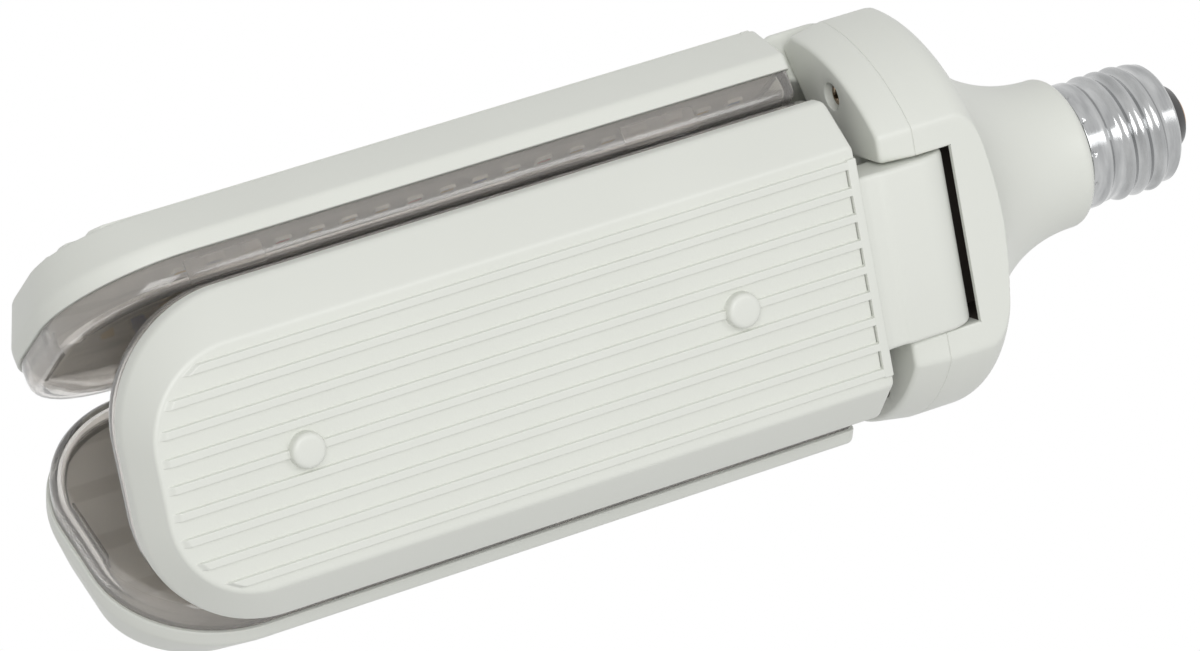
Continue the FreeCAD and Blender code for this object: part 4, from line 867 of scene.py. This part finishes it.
# %% clear covers
FACE_OUT, INNER_FACE_OUT, SEAT_OUT, TONGUE_OUT = 18.2, 19.8, 24.3, 26.9
CLIP_HALF, CLIP_OUT, CLIP_DEEP, CLIP_THICK = 8.0, 21.6, 2.0, 0.25
cover_skin = soften([
    blade_loop(7.0, FACE_OUT), blade_loop(0.6, FACE_OUT), blade_loop(0.6, SEAT_OUT), blade_loop(1.75, SEAT_OUT),
    blade_loop(1.75, TONGUE_OUT), blade_loop(2.95, TONGUE_OUT), blade_loop(2.3, INNER_FACE_OUT),
    blade_loop(7.0, INNER_FACE_OUT),
], [0, 3.1, 0.15, 0.1, 0.2, 0.2, 2.0, 0], 8)


def boxy(angles, half_x, half_y, power):
    """A loop between an ellipse and a rectangle: half size times sign(cos) |cos|^power, and so with sin."""
    c, s = np.cos(angles), np.sin(angles)
    return half_x * np.sign(c) * np.abs(c) ** power, half_y * np.sign(s) * np.abs(s) ** power


def clip(x, z, along):
    """A soft pad inside the cover's wall: a closed rounded section carried along the wall."""
    t = np.array([-1, -0.985, -0.95, 0.95, 0.985, 1])[:, None] * CLIP_HALF
    thin = np.array([0.0, 0.75, 1.0, 1.0, 0.75, 0.0])[:, None]
    deep, across = boxy(np.linspace(0, 2 * np.pi, 16, endpoint=False), CLIP_DEEP, CLIP_THICK, 0.4)
    d = -CLIP_OUT - deep * (0.6 + 0.4 * thin)
    a = across * (0.3 + 0.7 * thin)
    turned = along == "x"
    grid = np.stack([x + t + 0 * a, d, z + a] if turned else [x + a, d, z + t + 0 * a], axis=-1)
    return [patch(grid, True, turned, 1), lid(grid[0], not turned, 1), lid(grid[-1], turned, 1)]


clips = [part for x in (-28.9, 28.9) for drop in POST_DROPS for part in clip(x, -drop, "z")]
clips += clip(0.0, -214.1, "x")
cover_patches = [patch(cover_skin[:5], True), patch(cover_skin[4:10], True, False, 1), patch(cover_skin[9:], True),
                 lid(cover_skin[0], True), lid(cover_skin[-1]), *clips]
for number in BLADE_TURNS:
    blade_piece(number, "clear_cover", cover_patches, [clear_face, clear_edge], "lens", edge=40)

# %% [markdown]
# ## LEDs
# Each LED is a small white package, 2.8 by 3.5 mm, with a shallow window of gel: yellow phosphor in the
# white ones, red and blue in the others. One package is a few dozen points; adding all the places to it
# at once makes a whole board's worth. The places follow the same rule as the solids.

# %% LED packages
LED_ROWS, LED_COLUMNS, LED_PITCH, BOARD_INSET, LED_MARGIN, BOARD_OUT = 4, 18, 7.0, 3.2, 6.0, 24.6
WHITE, RED, BLUE = 0, 1, 2


def led_places():
    """The places (x, 0, z) of a board's LEDs and their colours."""
    row, column = np.meshgrid(np.arange(LED_ROWS), np.arange(LED_COLUMNS), indexing="ij")
    x = (row - (LED_ROWS - 1) / 2) * LED_ROW_PITCH
    drop = BLADE_END + BOARD_INSET + LED_MARGIN + column * LED_PITCH
    step = (column + 2 * row) % 8
    colour = np.where(step % 4 == 0, RED, np.where(step == 6, BLUE, WHITE))
    return np.column_stack([x.ravel(), 0 * x.ravel(), -drop.ravel()]), colour.ravel()


round_angles = np.linspace(0, 2 * np.pi, 16, endpoint=False) + np.pi / 16
levels = [(1.4, 1.75, BOARD_OUT), (1.4, 1.75, 23.9), (1.32, 1.67, 23.82), (1.24, 1.58, 23.8), (1.16, 1.5, 23.92)]
package = np.stack([stand(np.column_stack(boxy(round_angles, half_x, half_z, 0.35)), distance)
                    for half_x, half_z, distance in levels])
places, colours = led_places()
gels = {WHITE: ("white", phosphor_gel), RED: ("red", red_gel), BLUE: ("blue", blue_gel)}
for number in BLADE_TURNS:
    for colour, (word, gel) in gels.items():
        at = places[colours == colour]
        bodies = [patch(package + place, True, True) for place in at]
        bodies += [lid(package[-1] + place, True, 1) for place in at] + [lid(package[0] + place) for place in at]
        blade_piece(number, f"{word}_packages", bodies, [led_case, gel], f"{word}_leds", edge=30)

# %% board screws
board_screws = [patch(np.stack([part[..., 0], part[..., 2] - BOARD_OUT, -part[..., 1] - drop], axis=-1), True, True)
                for drop in POST_DROPS for part in [*screw_head(2.4, 1.4), shank(1.15, 6.8)]]
for number in BLADE_TURNS:
    blade_piece(number, "pan_screws", board_screws, [screw_steel], "board_screws", edge=50)

# %% [markdown]
# ## The pieces inside
# The driver, leads, terminals and friction rings sit inside the closed hub and blades. Their solids have
# the right shape already, so they only get their own finishes.

# %% finishes of the inner pieces
inner = {
    "driver_board": board_laminate, "output_terminal": terminal_nylon, "smoothing_capacitor": capacitor_sleeve,
    "transformer": transformer_tape, "film_capacitor": film_resin, "bridge_rectifier": chip_resin,
    "driver_chip": chip_resin, "fuse_resistor": film_resin, "live_lead": lead_jacket, "neutral_lead": lead_jacket,
    "hub_leads": lead_jacket,
}
for number in BLADE_TURNS:
    inner[f"blade_{number}_led_board"] = lacquers[number]
    inner[f"blade_{number}_friction_rings"] = ring_rubber
    inner[f"blade_{number}_terminal"] = terminal_nylon
    inner[f"blade_{number}_lead"] = lead_jacket
for name, finish in inner.items():
    nodes[name].data.materials.clear()
    nodes[name].data.materials.append(finish)
print("finishes on", len(inner), "CAD nodes")
